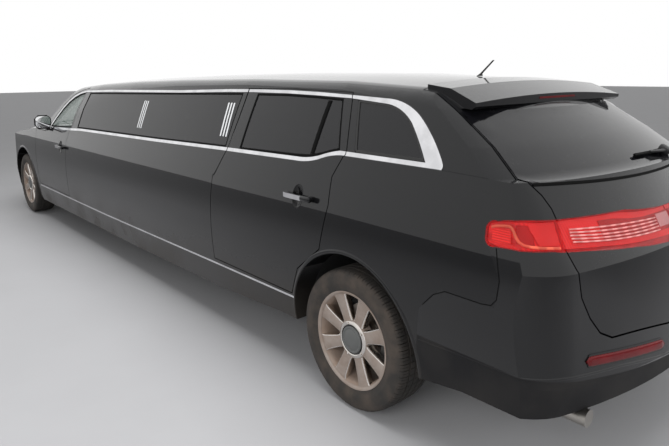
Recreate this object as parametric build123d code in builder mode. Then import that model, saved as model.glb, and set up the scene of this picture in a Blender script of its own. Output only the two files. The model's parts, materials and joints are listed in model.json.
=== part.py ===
from build123d import *
import os
from collections import namedtuple
from math import cos, hypot, radians, sin

# Stretch limousine on a full-size crossover, lengthened by 120 inches behind the front doors.
# Millimetres, +X forward, +Y to the car's left, +Z up, origin on the ground under the
# middle of the car.

# Driving dimensions of the car
STRETCH = 3048.0
BASE_WHEELBASE = 2995.0
WHEELBASE = BASE_WHEELBASE + STRETCH
FRONT_OVERHANG = 1030.0
REAR_OVERHANG = 1248.0
HEIGHT = 1712.0
COWL_FROM_AXLE = -553.0
REAR_AXLE_X = (REAR_OVERHANG - FRONT_OVERHANG - WHEELBASE) / 2
FRONT_AXLE_X = REAR_AXLE_X + WHEELBASE

# Wheels and tyres, 235/55 R19
TYRE_RADIUS = 370.0
TYRE_WIDTH = 235.0
RIM_RADIUS = 256.0
RIM_INNER_RADIUS = 244.0
RIM_HALF_WIDTH = 104.0
WHEEL_PLANE_Y = 830.0
SPOKES = 8
DISC_RADIUS = 165.0
HUB_RADIUS = 72.0

# Arches and the wells behind them
ARCH_RADIUS = 455.0
WELL_INNER_Y = 490.0
WELL_WALL = 25.0

# Walls and gaps
DOOR_WALL = 90.0
PILLAR_WALL = 45.0
ROOF_WALL = 35.0
HOOD_WALL = 28.0
PANEL_GAP = 6.0
SEAT_GAP = 0.3
GLASS = 5.0
GLASS_INSET = 4.0
CHROME_PROUD = 4.0
FLOOR_TOP = 330.0

# Widths beyond every body surface, for cutting tools
CUT_Y = 1150.0
CUT_Z = 2000.0


def rear_x(distance):
    return REAR_AXLE_X + distance


def front_x(distance):
    return FRONT_AXLE_X + distance


# Half-widths of the car's side at three heights of the lower body and of the greenhouse
SIDE_FOOT = (900.0, 200.0)
SIDE_WIDEST = (965.0, 780.0)
SIDE_SHOULDER = (885.0, 1240.0)
SIDE_TOP = (853.0, 1330.0)
UPPER_FOOT = (930.0, 1080.0)
UPPER_MIDDLE = (812.0, 1400.0)
UPPER_TOP = (655.0, 1740.0)

# Plan outlines of the ends at rising heights: where the round leaves the side, where it meets
# the end and the end's middle. Tail columns are measured from the rear axle, nose columns from
# the front axle.
Level = namedtuple("Level", "z tail_start tail_end tail_middle nose_start nose_end nose_middle")
LOWER_LEVELS = [
    Level(180, -790, -1010, -1125, 120, 730, 900),
    Level(530, -860, -1120, -REAR_OVERHANG, 160, 900, FRONT_OVERHANG),
    Level(970, -860, -1085, -1172, 130, 830, 930),
    Level(1330, -620, -860, -975, 0, 430, 540),
]
LOWER_SIDE_Y = 985.0
LOWER_TAIL_Y = 800.0
LOWER_NOSE_Y = 640.0
UPPER_LEVELS = [
    Level(1080, -744, -930, -1040, -830, -640, -390),
    Level(1255, -709, -895, -1012, -1040, -850, -660),
    Level(1400, -514, -700, -800, -1200, -1060, -950),
    Level(1550, -284, -470, -560, -1480, -1370, -1280),
    Level(1740, 36, -150, -240, -1900, -1790, -1700),
]
UPPER_SIDE_Y = (950.0, 889.0, 832.0, 767.0, 675.0)
UPPER_CORNER_INSET = 140.0

# Roof crown along the car: distance from the axle named and height on the centreline
ROOF_REAR = [(-1300, 1575), (-600, 1642), (-200, 1679), (300, 1704), (1237, HEIGHT)]
ROOF_FRONT = [(-3800, 1703), (-2933, 1685), (-2100, 1656), (-1483, 1618), (-900, 1550), (-300, 1450)]

# Mark on a point of an outline that an arc passes through
ROUND = "round"

# Top edge of the lower body, rising to the rear with a kick in the rear door
BELT_REAR = [(-1300, 1262), (-900, 1289), (-481, 1300), (148, 1300), (231, 1288, ROUND), (310, 1264),
             (402, 1245, ROUND), (500, 1239), (1307, 1223), (2297, 1198)]
BELT_FRONT = [(-2064, 1166), (-1593, 1144), (-1026, 1121), (-553, 1108)]

# Lower edge of the sill, rising to the rear
SILL_REAR = [(-1300, 400), (-700, 385), (-440, 345), (596, 335), (1294, 290)]
SILL_FRONT = [(-3000, 250), (-553, 235)]

# Inner faces of the cabin's walls, in Y and Z, and the hollow's ends seen from the side
LOWER_HOLLOW = [(835, 330), (868, 480), (872, 1000), (835, 1191)]
REAR_FLOOR = [(1500, FLOOR_TOP), (640, 430), (-600, 440)]
HOLLOW_TAIL = [(-1030, 470), (-1030, 900), (-975, 1060), (-865, 1191), (-600, 1400)]
HOLLOW_BACK = [(-865, 1185), (-735, 1370), (-480, 1540), (-225, 1660), (-100, 1800)]
HOLLOW_FRONT = [(-1500, 1800), (-1500, 1578), (-1250, 1480), (-980, 1350), (-700, 1188)]
UPPER_HOLLOW_FOOT = (842.0, 1190.0)
UPPER_HOLLOW_RAIL_Y = 680.0
UPPER_HOLLOW_ROOF_Y = 590.0

# Front clip: the cowl behind the hood, the hood's hinge line and its crown along the car, as
# distance from the front axle, height on the centreline, drop at the shoulder and at the flank
COWL_X = front_x(COWL_FROM_AXLE)
FIREWALL_X = front_x(-663)
A_PILLAR_FOOT_X = front_x(-850)
COWL_UNDERSIDE_Z = 1085.0
INNER_BELT_Z = 1190.0
HOOD_HINGE_X = front_x(-440)
HOOD_HINGE_Z = 1155.0
HOOD_STATIONS = [(-600, 1158, 30, 70), (0, 1118, 38, 120), (500, 1068, 45, 150), (850, 1010, 50, 170),
                 (1100, 940, 60, 200)]
HOOD_SHOULDER_Y = 760.0
HOOD_FLANGE = 60.0
HOOD_OUTLINE = [(0, 1118, 745), (500, 1068, 700), (780, 1020, 620), (862, 1005, 470)]

NOSE_BOTTOM_Z = 232.0
BAY_REAR = -520.0
BAY_FRONT = 760.0
BAY_FLOOR_Z = 262.0
BAY_SHELF_Z = 880.0
GRILLE_HALF = 430.0
GRILLE_BOTTOM_Z = 600.0
GRILLE_TOP_Z = 900.0
GRILLE_BACK = 840.0
GRILLE_BARS = 7
GRILLE_PLATE = 8.0
GRILLE_INSET = 6.0
BAR_SHARE = 0.45
HEADLAMP_REAR = 520.0
HEADLAMP_Y = 500.0
HEADLAMP_Z = (790.0, 930.0)

# Wheel spokes, disc, hub carrier and damper
SPOKE_ROOT_RADIUS = 100.0
SPOKE_ROOT_WIDTH = 64.0
SPOKE_TIP_WIDTH = 84.0
SPOKE_TIP_RADIUS = 248.0
SPOKE_BACK = 52.0
SPOKE_DEPTH = 40.0
DISC_BACK = -34.0
DISC_THICKNESS = 26.0
CARRIER_Y = 690.0
CARRIER_RADIUS = 55.0
UPRIGHT_Y = 640.0
UPRIGHT_LOW_Z = 235.0
UPRIGHT_TOP_Z = 520.0
STRUT_TOP_Z = 900.0
STRUT_RADIUS = 20.0

# Hinge plates, fixed to the body 0.3 mm from the moving panel's edge
HINGE_PLATE = PANEL_GAP - SEAT_GAP
DOOR_PLATE_Y = (925.0, 950.0)
DOOR_PLATE_Z = ((540.0, 620.0), (860.0, 940.0))
HOOD_PLATE_Y = (480.0, 560.0)
HOOD_PLATE_Z = (1108.0, 1128.0)
TAILGATE_PLATE_Y = (300.0, 380.0)
TAILGATE_PLATE_Z = (1630.0, 1652.0)

# Side doors: outlines from the front lower corner round the rear to the front upper corner
DOOR_HINGE_Y = 968.0
DOOR_INNER_Y = 672.0
DOOR_LOWER_INNER_Y = 835.0
FRONT_DOOR = [(-1643, 450), (-1668, 800), (-1672, 1040), (-1766, 1217), (-1798, 1572), (-1640, 1551),
              (-1400, 1488), (-1190, 1378), (-1045, 1235), (-940, 1090)]
FRONT_GLASS = [(-1775, 1530), (-1636, 1512), (-1492, 1476), (-1359, 1424), (-1240, 1352), (-1130, 1247),
               (-1045, 1148), (-1733, 1176)]
REAR_DOOR_HINGE = 1340.0
REAR_DOOR = [(471, 498), (400, 662), (208, 813), (162, 1050), (173, 1192), (121, 1310), (207, 1608),
             (700, 1618), (1190, 1612), (1229, 1217), (1318, 1060)]
REAR_GLASS = [(1084, 1588), (1100, 1245), (500, 1260), (402, 1266, ROUND), (310, 1285), (236, 1307, ROUND),
              (172, 1320), (262, 1578),
              (493, 1586), (759, 1591)]
STRETCH_GLASS_FRONT = [(-1923, 1532), (-1913, 1184)]
STRETCH_GLASS_REAR = [(2297, 1216), (1262, 1242), (1250, 1588), (2141, 1570)]
QUARTER_GLASS = [(60, 1320), (148, 1576), (-60, 1563), (-180, 1533, ROUND), (-262, 1482),
                 (-330, 1411, ROUND), (-403, 1322)]

# Bright ring round all the side windows
TRIM_OUTER_REAR = [(-474, 1290), (-499, 1300, ROUND), (-497, 1325), (-485, 1342), (-400, 1433, ROUND),
                   (-290, 1519), (-185, 1567, ROUND), (-60, 1587), (204, 1598), (493, 1608), (759, 1613),
                   (1117, 1613), (1430, 1609), (2141, 1590)]
TRIM_OUTER_FRONT = [(-2481, 1570), (-2051, 1558), (-1798, 1552), (-1640, 1532), (-1484, 1495),
                    (-1340, 1438), (-1215, 1364), (-1095, 1250), (-985, 1124), (-1593, 1142), (-2064, 1164)]
TRIM_LOWER_REAR = [(2297, 1196), (1307, 1221), (500, 1237), (402, 1243, ROUND), (310, 1262),
                   (231, 1286, ROUND), (148, 1298)]
TRIM_INNER_REAR = [(-403, 1320), (-330, 1411, ROUND), (-262, 1482), (-180, 1533, ROUND), (-60, 1563),
                   (204, 1582), (493, 1590), (759, 1595), (1117, 1595), (1430, 1591), (2141, 1572)]
TRIM_INNER_FRONT = [(-2481, 1552), (-2051, 1540), (-1790, 1534), (-1636, 1514), (-1492, 1478),
                    (-1359, 1426), (-1240, 1354), (-1130, 1249), (-1040, 1145), (-1593, 1164),
                    (-2064, 1186)]
TRIM_INNER_LOWER = [(2297, 1218), (1307, 1243), (500, 1259), (402, 1265, ROUND), (310, 1284),
                    (236, 1306, ROUND), (165, 1320)]

# Pull handles, as far below the belt on each door
HANDLE_Z = {"front": 965.0, "rear": 1060.0}
HANDLE_LENGTH = 240.0
HANDLE_HEIGHT = 26.0
HANDLE_REACH = 38.0
HANDLE_BAR = 15.0

# Door mirrors
MIRROR_X = -1095.0
MIRROR_Y = 997.0
MIRROR_Z = 1205.0
MIRROR_WIDTH = 176.0
MIRROR_CORNER = 42.0
MIRROR_HEIGHT = 150.0
MIRROR_DEPTH = 105.0
MIRROR_TAPER = 14.0
MIRROR_ARM_Z = (1108.0, 1150.0)

# Windshield and tailgate
WINDSHIELD = [(-785, 1131), (785, 1131), (650, 1590), (-650, 1590)]
HEADER_X = front_x(-1483)
ROOF_HALF = DOOR_INNER_Y - PANEL_GAP
TAILGATE_HINGE = -225.0
TAILGATE_HINGE_Z = 1684.0
TAILGATE = [(-240, 1678, 655), (-520, 1548, 700), (-660, 1400, 735), (-885, 1287, 800), (-925, 1245, 768),
            (-960, 1195, 752), (-985, 1150, 753), (-1045, 1050, 778), (-1080, 985, 772), (-1105, 880, 757),
            (-1122, 790, 715), (-1140, 722, 664), (-1160, 692, 600), (-1190, 680, 426), (-1218, 656, 212)]
TAILGATE_INSIDE = [(-200, 1900), (-200, 1540), (-400, 1480), (-600, 1360), (-760, 1230), (-900, 1080),
                   (-950, 1000), (-950, 560), (-1500, 560), (-1500, 1900)]
REAR_GLASS_OUTLINE = [(-760, 1282), (760, 1282), (640, 1530), (-640, 1530)]
SPOILER = [(-236, 1682, 646), (-385, 1665, 662), (-540, 1604, 682)]
SPOILER_DROP = 26.0
SPOILER_OUTLINE = [(-236, 1800), (-236, 1500), (-470, 1553), (-515, 1548), (-540, 1562), (-540, 1800)]
SILL_STRIP = 12.0
SILL_STRIP_REAR = [(452, 482), (1260, 472), (2179, 458)]
SILL_STRIP_FRONT = [(-2683, 440), (-565, 430)]
ANTENNA_TOP_Z = 1773.0
ANTENNA_FOOT_Z = 1687.0
ANTENNA_HALF = 5.0

# Tail lamps and the bumper covers, seen from the side
LAMP_REAR = [(-836, 1050), (-795, 1057, ROUND), (-784, 1085), (-782, 1112), (-793, 1137, ROUND), (-829, 1146),
             (-910, 1161, ROUND), (-982, 1153), (-1059, 1142), (-1091, 1118), (-1500, 1118), (-1500, 974),
             (-1175, 974), (-1133, 1004), (-1074, 1032), (-1020, 1051), (-927, 1055)]
LAMP_DEPTH = 60.0
BUMPER_REAR = [(-500, 100), (-455, 500), (-480, 700), (-595, 815), (-859, 815), (-874, 924), (-790, 1080),
               (-1500, 1080), (-1500, 100)]
BUMPER_FRONT = [(440, 100), (455, 560), (500, 700), (620, 770), (1300, 770), (1300, 100)]

# Furniture of the cabin
SEAT_BASE_Z = 440.0
FRONT_SEAT_X = front_x(-1640)
FRONT_SEAT_Y = 380.0
REAR_BENCH_X = rear_x(760)
SIDE_BENCH_X = (rear_x(1500), rear_x(3500))
SIDE_BENCH_Z = 620.0
BAR_X = (rear_x(1700), rear_x(3500))
BAR_TOP_Z = 900.0
PARTITION_X = front_x(-2020)
PARTITION_WALL = 40.0
PARTITION_HALF = 520.0
PARTITION_Z = (1050.0, 1450.0)
STEERING_HUB = (front_x(-1120), FRONT_SEAT_Y, 985.0)
STEERING_RADIUS = 188.0
STEERING_RAKE = 25.0


def side_y(z):
    """Half-width of the car's side at a height."""
    if z > SIDE_SHOULDER[1]:
        rise = (z - UPPER_FOOT[1]) / (UPPER_TOP[1] - UPPER_FOOT[1])
        bulge = UPPER_MIDDLE[0] - (UPPER_FOOT[0] + UPPER_TOP[0]) / 2
        return UPPER_FOOT[0] + rise * (UPPER_TOP[0] - UPPER_FOOT[0]) + 4 * bulge * rise * (1 - rise)
    end = SIDE_SHOULDER if z > SIDE_WIDEST[1] else SIDE_FOOT
    share = (z - SIDE_WIDEST[1]) / (end[1] - SIDE_WIDEST[1])
    return SIDE_WIDEST[0] + (end[0] - SIDE_WIDEST[0]) * share ** 2


def corner_middle(start_x, start_y, end_x, end_y):
    """Point on the round between a side and an end of a plan outline."""
    x = start_x + 0.62 * (end_x - start_x)
    return (x, (start_y + end_y) / 2 + 0.2 * (start_y - end_y))


def plan_outline(level, side, tail_y, nose_y, inset):
    """Draw one closed plan outline, moved inwards by the inset."""
    tail_y = tail_y - 0.7 * inset
    nose_y = nose_y - 0.7 * inset
    tail_start = (rear_x(level.tail_start + 0.3 * inset), side - inset)
    tail_end = (rear_x(level.tail_end + inset), tail_y)
    tail_mid = corner_middle(*tail_start, *tail_end)
    nose_start = (front_x(level.nose_start - 0.3 * inset), side - inset)
    nose_end = (front_x(level.nose_end - inset), nose_y)
    nose_mid = corner_middle(*nose_start, *nose_end)

    def other(point):
        return (point[0], -point[1])

    Line(tail_start, nose_start)
    ThreePointArc(nose_start, nose_mid, nose_end)
    ThreePointArc(nose_end, (front_x(level.nose_middle - inset), 0), other(nose_end))
    ThreePointArc(other(nose_end), other(nose_mid), other(nose_start))
    Line(other(nose_start), other(tail_start))
    ThreePointArc(other(tail_start), other(tail_mid), other(tail_end))
    ThreePointArc(other(tail_end), (rear_x(level.tail_middle + inset), 0), tail_end)
    ThreePointArc(tail_end, tail_mid, tail_start)


def lower_body(inset):
    """Lower body from bumper to bumper, with nothing cut from its top."""

    def at(point, sign=1):
        return (sign * (point[0] - inset), point[1])

    with BuildPart() as body:
        with BuildSketch(Plane.YZ.offset(rear_x(-REAR_OVERHANG - 50))):
            with BuildLine():
                Line(at(SIDE_FOOT, -1), at(SIDE_FOOT))
                TangentArc(at(SIDE_WIDEST), at(SIDE_FOOT), tangent=(0, -1))
                TangentArc(at(SIDE_WIDEST), at(SIDE_SHOULDER), tangent=(0, 1))
                Line(at(SIDE_SHOULDER), at(SIDE_TOP))
                Line(at(SIDE_TOP), at(SIDE_TOP, -1))
                Line(at(SIDE_TOP, -1), at(SIDE_SHOULDER, -1))
                TangentArc(at(SIDE_WIDEST, -1), at(SIDE_SHOULDER, -1), tangent=(0, 1))
                TangentArc(at(SIDE_WIDEST, -1), at(SIDE_FOOT, -1), tangent=(0, -1))
            make_face()
        extrude(amount=WHEELBASE + REAR_OVERHANG + FRONT_OVERHANG + 100)
    with BuildPart() as ends:
        for level in LOWER_LEVELS:
            with BuildSketch(Plane.XY.offset(level.z)):
                with BuildLine():
                    plan_outline(level, LOWER_SIDE_Y, LOWER_TAIL_Y, LOWER_NOSE_Y, inset)
                make_face()
        loft(ruled=True)
    return common(body.part, ends.part)


def roof_section(top, inset):
    """Cross-section under the roof skin, drawn with Y across and Z up."""
    crown = top - inset
    edge = (600 - inset, crown - 34)
    roll = (694 - inset, crown - 64)
    shoulder = (738 - inset, crown - 115)
    flank = (1000, crown - 600 + inset)

    def other(point):
        return (-point[0], point[1])

    Line((-1000, 600), (1000, 600))
    Line((1000, 600), flank)
    Line(flank, shoulder)
    ThreePointArc(shoulder, roll, edge)
    ThreePointArc(edge, (0, crown), other(edge))
    ThreePointArc(other(edge), other(roll), other(shoulder))
    Line(other(shoulder), other(flank))
    Line(other(flank), (-1000, 600))


def greenhouse(inset, roof_inset):
    """Windows, pillars and roof as one solid block."""
    stations = [(rear_x(x), z) for x, z in ROOF_REAR] + [(front_x(x), z) for x, z in ROOF_FRONT]

    def at(point, sign=1):
        return (sign * (point[0] - inset), point[1])

    with BuildPart() as body:
        with BuildSketch(Plane.YZ.offset(rear_x(-REAR_OVERHANG - 50))):
            with BuildLine():
                Line(at(UPPER_FOOT, -1), at(UPPER_FOOT))
                ThreePointArc(at(UPPER_FOOT), at(UPPER_MIDDLE), at(UPPER_TOP))
                Line(at(UPPER_TOP), at(UPPER_TOP, -1))
                ThreePointArc(at(UPPER_TOP, -1), at(UPPER_MIDDLE, -1), at(UPPER_FOOT, -1))
            make_face()
        extrude(amount=WHEELBASE + REAR_OVERHANG)
    with BuildPart() as crown:
        for x, top in stations:
            with BuildSketch(Plane.YZ.offset(x)):
                with BuildLine():
                    roof_section(top, roof_inset)
                make_face()
        loft(ruled=True)
    with BuildPart() as ends:
        for level, side in zip(UPPER_LEVELS, UPPER_SIDE_Y):
            corner_y = side - UPPER_CORNER_INSET
            with BuildSketch(Plane.XY.offset(level.z)):
                with BuildLine():
                    plan_outline(level, side, corner_y, corner_y, inset)
                make_face()
        loft(ruled=True)
    return common(body.part, ends.part, crown.part)


def outline_runs(points):
    """Draw a closed outline of straight runs, with an arc through each point that is marked ROUND."""
    for i, here in enumerate(points):
        before = points[i - 1]
        after = points[(i + 1) % len(points)]
        if here[-1] is ROUND:
            ThreePointArc(before[:2], here[:2], after[:2])
        elif after[-1] is not ROUND:
            Line(here[:2], after[:2])


def side_prism(points, y_from=-CUT_Y, y_to=CUT_Y):
    """Block across the car whose outline is given as seen from the side."""
    with BuildPart() as prism:
        with BuildSketch(Plane.XZ.offset(-y_to)):
            with BuildLine():
                outline_runs(points)
            make_face()
        extrude(amount=y_to - y_from)
    return prism.part


def front_prism(points, x_from, x_to):
    """Block along the car whose outline is given in Y and Z."""
    with BuildPart() as prism:
        with BuildSketch(Plane.YZ.offset(x_from)):
            with BuildLine():
                Polyline(*points, close=True)
            make_face()
        extrude(amount=x_to - x_from)
    return prism.part


def block(x_from, x_to, y_from, y_to, z_from, z_to):
    """Plain box by its limits."""
    with BuildPart() as box:
        with BuildSketch(Plane.XY.offset(z_from)):
            with Locations(((x_from + x_to) / 2, (y_from + y_to) / 2)):
                Rectangle(x_to - x_from, y_to - y_from)
        extrude(amount=z_to - z_from)
    return box.part


def axle_drum(x, y_from, y_to, radius, z=TYRE_RADIUS):
    """Cylinder across the car."""
    with BuildPart() as drum:
        with BuildSketch(Plane.XZ.offset(-y_to)):
            with Locations((x, z)):
                Circle(radius)
        extrude(amount=y_to - y_from)
    return drum.part


def axle_strut(x, y, z_from, z_to):
    """Upright damper tube."""
    with BuildPart() as strut:
        with BuildSketch(Plane.XY.offset(z_from)):
            with Locations((x, y)):
                Circle(STRUT_RADIUS)
        extrude(amount=z_to - z_from)
    return strut.part


def door_plates(hinge_x):
    """Hinge plates on the pillar ahead of a side door."""
    return [block(hinge_x - HINGE_PLATE, hinge_x, *DOOR_PLATE_Y, *heights) for heights in DOOR_PLATE_Z]


def joined(first, *others):
    with BuildPart() as result:
        add(first)
        for other in others:
            add(other)
    return result.part


def cut(first, *tools):
    with BuildPart() as result:
        add(first)
        for tool in tools:
            add(tool, mode=Mode.SUBTRACT)
    return result.part


def common(first, *others):
    with BuildPart() as result:
        add(first)
        for other in others:
            add(other, mode=Mode.INTERSECT)
    return result.part


def mirrored(part):
    with BuildPart() as result:
        add(part)
        mirror(about=Plane.XZ, mode=Mode.REPLACE)
    return result.part


def hood_block(drop):
    """Everything under the hood and fenders' top surface, lowered by a drop."""
    with BuildPart() as top:
        for x, crown, shoulder, flank in HOOD_STATIONS:
            with BuildSketch(Plane.YZ.offset(front_x(x))):
                with BuildLine():
                    high = crown - drop
                    Line((-1100, 100), (1100, 100))
                    Line((1100, 100), (1100, high - flank))
                    Line((1100, high - flank), (HOOD_SHOULDER_Y, high - shoulder))
                    ThreePointArc((HOOD_SHOULDER_Y, high - shoulder), (0, high),
                                  (-HOOD_SHOULDER_Y, high - shoulder))
                    Line((-HOOD_SHOULDER_Y, high - shoulder), (-1100, high - flank))
                    Line((-1100, high - flank), (-1100, 100))
                make_face()
        loft(ruled=True)
    return top.part


def swing_tool(hinge_x, outline, grow, front_gap):
    """Block whose edges turn about a side door's upright hinge line.

    The outline's points are an x on the car's side and a height, so each is turned into its
    distance from the hinge line.
    """
    radial = [(hypot(hinge_x - x, DOOR_HINGE_Y - side_y(z)), z) for x, z in outline]
    reach = max(point[0] for point in radial) + 50
    with BuildPart() as tool:
        with BuildSketch(Plane((hinge_x, DOOR_HINGE_Y, 0), x_dir=(-1, 0, 0), z_dir=(0, 1, 0))):
            with BuildLine():
                Polyline((0, radial[0][1]), *radial, (0, radial[-1][1]), close=True)
            make_face()
            if grow:
                offset(amount=grow, kind=Kind.INTERSECTION)
            with Locations((reach, CUT_Z / 2)):
                Rectangle(2 * reach, CUT_Z, mode=Mode.INTERSECT)
        revolve(axis=Axis((hinge_x, DOOR_HINGE_Y, 0), (0, 0, 1)))
    low, high = hinge_x - 2 * reach, hinge_x - front_gap
    return common(
        tool.part,
        joined(
            block(low, high, DOOR_LOWER_INNER_Y - grow, CUT_Y, 0, CUT_Z),
            block(low, high, DOOR_INNER_Y - grow, CUT_Y, INNER_BELT_Z, CUT_Z),
        ),
    )


def lid_tool(hinge_x, hinge_z, outline, ahead, grow, hinge_gap):
    """Block whose ends turn about a lid's hinge line across the car.

    The outline's points are an x, a height and a half-width. Ahead is 1 for a lid that
    lies ahead of its hinge and -1 for one behind it.
    """
    radial = [(hypot(hinge_x - x, hinge_z - z), half) for x, z, half in outline]
    half_line = [(0, radial[0][1])] + radial
    other_line = [(reach, -half) for reach, half in reversed(half_line)]
    far = max(point[0] for point in radial) + 50
    with BuildPart() as tool:
        with BuildSketch(Plane((hinge_x, 0, hinge_z), x_dir=(ahead, 0, 0), z_dir=(0, 0, ahead))):
            with BuildLine():
                Polyline(*half_line, *other_line, close=True)
            make_face()
            if grow:
                offset(amount=grow, kind=Kind.INTERSECTION)
            with Locations((far, 0)):
                Rectangle(2 * far, 2 * CUT_Y, mode=Mode.INTERSECT)
        revolve(axis=Axis((hinge_x, 0, hinge_z), (0, 1, 0)))
    low, high = sorted((hinge_x + ahead * hinge_gap, hinge_x + ahead * 2 * far))
    return common(tool.part, block(low, high, -CUT_Y, CUT_Y, hinge_z - 2 * far, hinge_z + 2 * far))


def save(part, name):
    part.label = name
    export_step(part, f"parts/{name}.step")


def at_rear(points):
    return [(rear_x(x), *rest) for x, *rest in points]


def at_front(points):
    return [(front_x(x), *rest) for x, *rest in points]


def half_hollow(points):
    """Close a wall's inner outline along the middle of the car."""
    return [(-1, points[0][1])] + points + [(-1, points[-1][1])]


def ceiling_block():
    """Inside of the greenhouse with a flat ceiling that follows the roof along the car."""
    stations = [(rear_x(x), z) for x, z in ROOF_REAR] + [(front_x(x), z) for x, z in ROOF_FRONT]
    with BuildPart() as inside:
        for x, top in stations:
            ceiling = top - ROOF_WALL - 34
            with BuildSketch(Plane.YZ.offset(x)):
                with BuildLine():
                    Polyline((-1, INNER_BELT_Z), UPPER_HOLLOW_FOOT, (UPPER_HOLLOW_RAIL_Y, top - 150),
                             (UPPER_HOLLOW_ROOF_Y, ceiling), (-1, ceiling), close=True)
                make_face()
        loft(ruled=True)
    return inside.part


os.makedirs("parts", exist_ok=True)

# Outer surfaces and the hollow of the cabin
belt = at_rear(BELT_REAR) + at_front(BELT_FRONT)
sill = at_rear(SILL_REAR) + at_front(SILL_FRONT)
lower_outer = lower_body(0)
upper_outer = greenhouse(0, 0)
cabin_block = common(lower_outer, side_prism(belt + sill[::-1], 0))
lower_hollow = cut(
    common(
        front_prism(half_hollow(LOWER_HOLLOW), rear_x(-1300), FIREWALL_X),
        side_prism(
            at_rear(HOLLOW_TAIL) + [(FIREWALL_X, 1400), (FIREWALL_X, FLOOR_TOP)] + at_rear(REAR_FLOOR)),
    ),
    block(A_PILLAR_FOOT_X, FIREWALL_X, -1, CUT_Y, COWL_UNDERSIDE_Z, 1400),
    axle_drum(REAR_AXLE_X, WELL_INNER_Y, CUT_Y, ARCH_RADIUS + WELL_WALL),
)
upper_hollow = common(
    ceiling_block(), side_prism(at_rear(HOLLOW_BACK) + at_front(HOLLOW_FRONT))
)
rear_wells = axle_drum(REAR_AXLE_X, WELL_INNER_Y + WELL_WALL, CUT_Y, ARCH_RADIUS)
front_clear = block(COWL_X, front_x(800), -CUT_Y, CUT_Y, 0, 1250)
left_half = block(rear_x(-1500), front_x(1300), 0, CUT_Y, 0, CUT_Z)
upper_half = cut(common(upper_outer, left_half), front_clear)
shell = cut(joined(cabin_block, upper_half), lower_hollow, upper_hollow, rear_wells)

# Skins that the glass and the bright trim are cut from
glass_face = common(greenhouse(GLASS_INSET, GLASS_INSET), left_half)
glass_skin = cut(glass_face, greenhouse(GLASS_INSET + GLASS, GLASS_INSET + GLASS))
trim_skin = cut(common(greenhouse(-CHROME_PROUD, -CHROME_PROUD), left_half), upper_outer, cabin_block)
trim_ring = cut(
    side_prism(at_rear(TRIM_OUTER_REAR) + at_front(TRIM_OUTER_FRONT) + at_rear(TRIM_LOWER_REAR),
               DOOR_INNER_Y, CUT_Y),
    side_prism(at_rear(TRIM_INNER_REAR) + at_front(TRIM_INNER_FRONT) + at_rear(TRIM_INNER_LOWER),
               DOOR_INNER_Y, CUT_Y),
)
trim_left = common(trim_skin, trim_ring)

# Windshield
windshield_prism = front_prism(WINDSHIELD, HEADER_X, front_x(0))
windshield = cut(common(glass_skin, windshield_prism), front_clear, cabin_block)
shell = cut(shell, windshield_prism)

# Tailgate with its glass, lamp and spoiler
tailgate_x = rear_x(TAILGATE_HINGE)
inside = side_prism(at_rear(TAILGATE_INSIDE))
tailgate_tool = common(lid_tool(tailgate_x, TAILGATE_HINGE_Z, at_rear(TAILGATE), -1, 0, PANEL_GAP), inside)
tailgate_opening = common(
    lid_tool(tailgate_x, TAILGATE_HINGE_Z, at_rear(TAILGATE), -1, PANEL_GAP, 0), inside)
rear_glass_prism = front_prism(REAR_GLASS_OUTLINE, rear_x(-1400), rear_x(-300))
lamp_prism = side_prism(at_rear(LAMP_REAR))
lamp_block = cut(lamp_prism, lower_body(LAMP_DEPTH))
tailgate = common(shell, tailgate_tool)
tailgate_lamp = common(tailgate, lamp_block)
rear_glass = common(glass_skin, rear_glass_prism, tailgate_tool)
tailgate = cut(tailgate, rear_glass_prism, lamp_block)
shell = cut(shell, tailgate_opening)
tail_lamps = common(shell, lamp_block)
shell = cut(shell, lamp_block)
for part, name in ((tailgate, "tailgate"), (tailgate_lamp, "tailgate_lamp"), (rear_glass, "tailgate_glass"),
                   (tail_lamps, "tail_lamps"), (windshield, "windshield")):
    save(joined(part, mirrored(part)), name)

# Side doors with their glass and trim, and the openings that they leave
doors = {
    "front_door": (COWL_X, at_front(FRONT_DOOR), [at_front(FRONT_GLASS)]),
    "rear_door": (rear_x(REAR_DOOR_HINGE), at_rear(REAR_DOOR), [at_rear(REAR_GLASS)]),
}
handles = {"front_door": (-970.0, HANDLE_Z["front"]), "rear_door": (-940.0, HANDLE_Z["rear"])}


def handle(x, z):
    """Bowed pull handle whose two feet stand on the door."""
    foot = side_y(z) - 20
    top = side_y(z) + HANDLE_REACH
    under = top - HANDLE_BAR
    half = HANDLE_LENGTH / 2
    with BuildPart() as bow:
        with BuildSketch(Plane.XY.offset(z - HANDLE_HEIGHT / 2)):
            Polygon((x - half, foot), (x - half, top - 22), (x - half + 12, top - 6), (x - half + 42, top),
                    (x + half - 42, top), (x + half - 12, top - 6), (x + half, top - 22), (x + half, foot),
                    (x + half - 24, foot), (x + half - 34, under), (x - half + 34, under),
                    (x - half + 24, foot), align=None)
        extrude(amount=HANDLE_HEIGHT)
    return cut(bow.part, lower_outer)


fixed_trim = trim_left
body_left = shell
for name, (hinge_x, outline, glass) in doors.items():
    leaf = swing_tool(hinge_x, outline, 0, PANEL_GAP)
    opening = swing_tool(hinge_x, outline, PANEL_GAP, 0)
    windows = joined(*[side_prism(points, DOOR_INNER_Y, CUT_Y) for points in glass])
    panel = cut(common(shell, leaf), windows)
    pane = common(glass_skin, windows)
    from_hinge, height = handles[name]
    trim = joined(common(trim_left, leaf), handle(hinge_x + from_hinge, height))
    body_left = cut(body_left, opening)
    if hinge_x < COWL_X:
        body_left = joined(body_left, *door_plates(hinge_x))
    fixed_trim = cut(fixed_trim, opening)
    for side, turn in (("left", joined), ("right", mirrored)):
        save(turn(panel), f"{name}_{side}")
        save(turn(pane), f"{name}_glass_{side}")
        save(turn(trim), f"{name}_trim_{side}")

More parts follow.
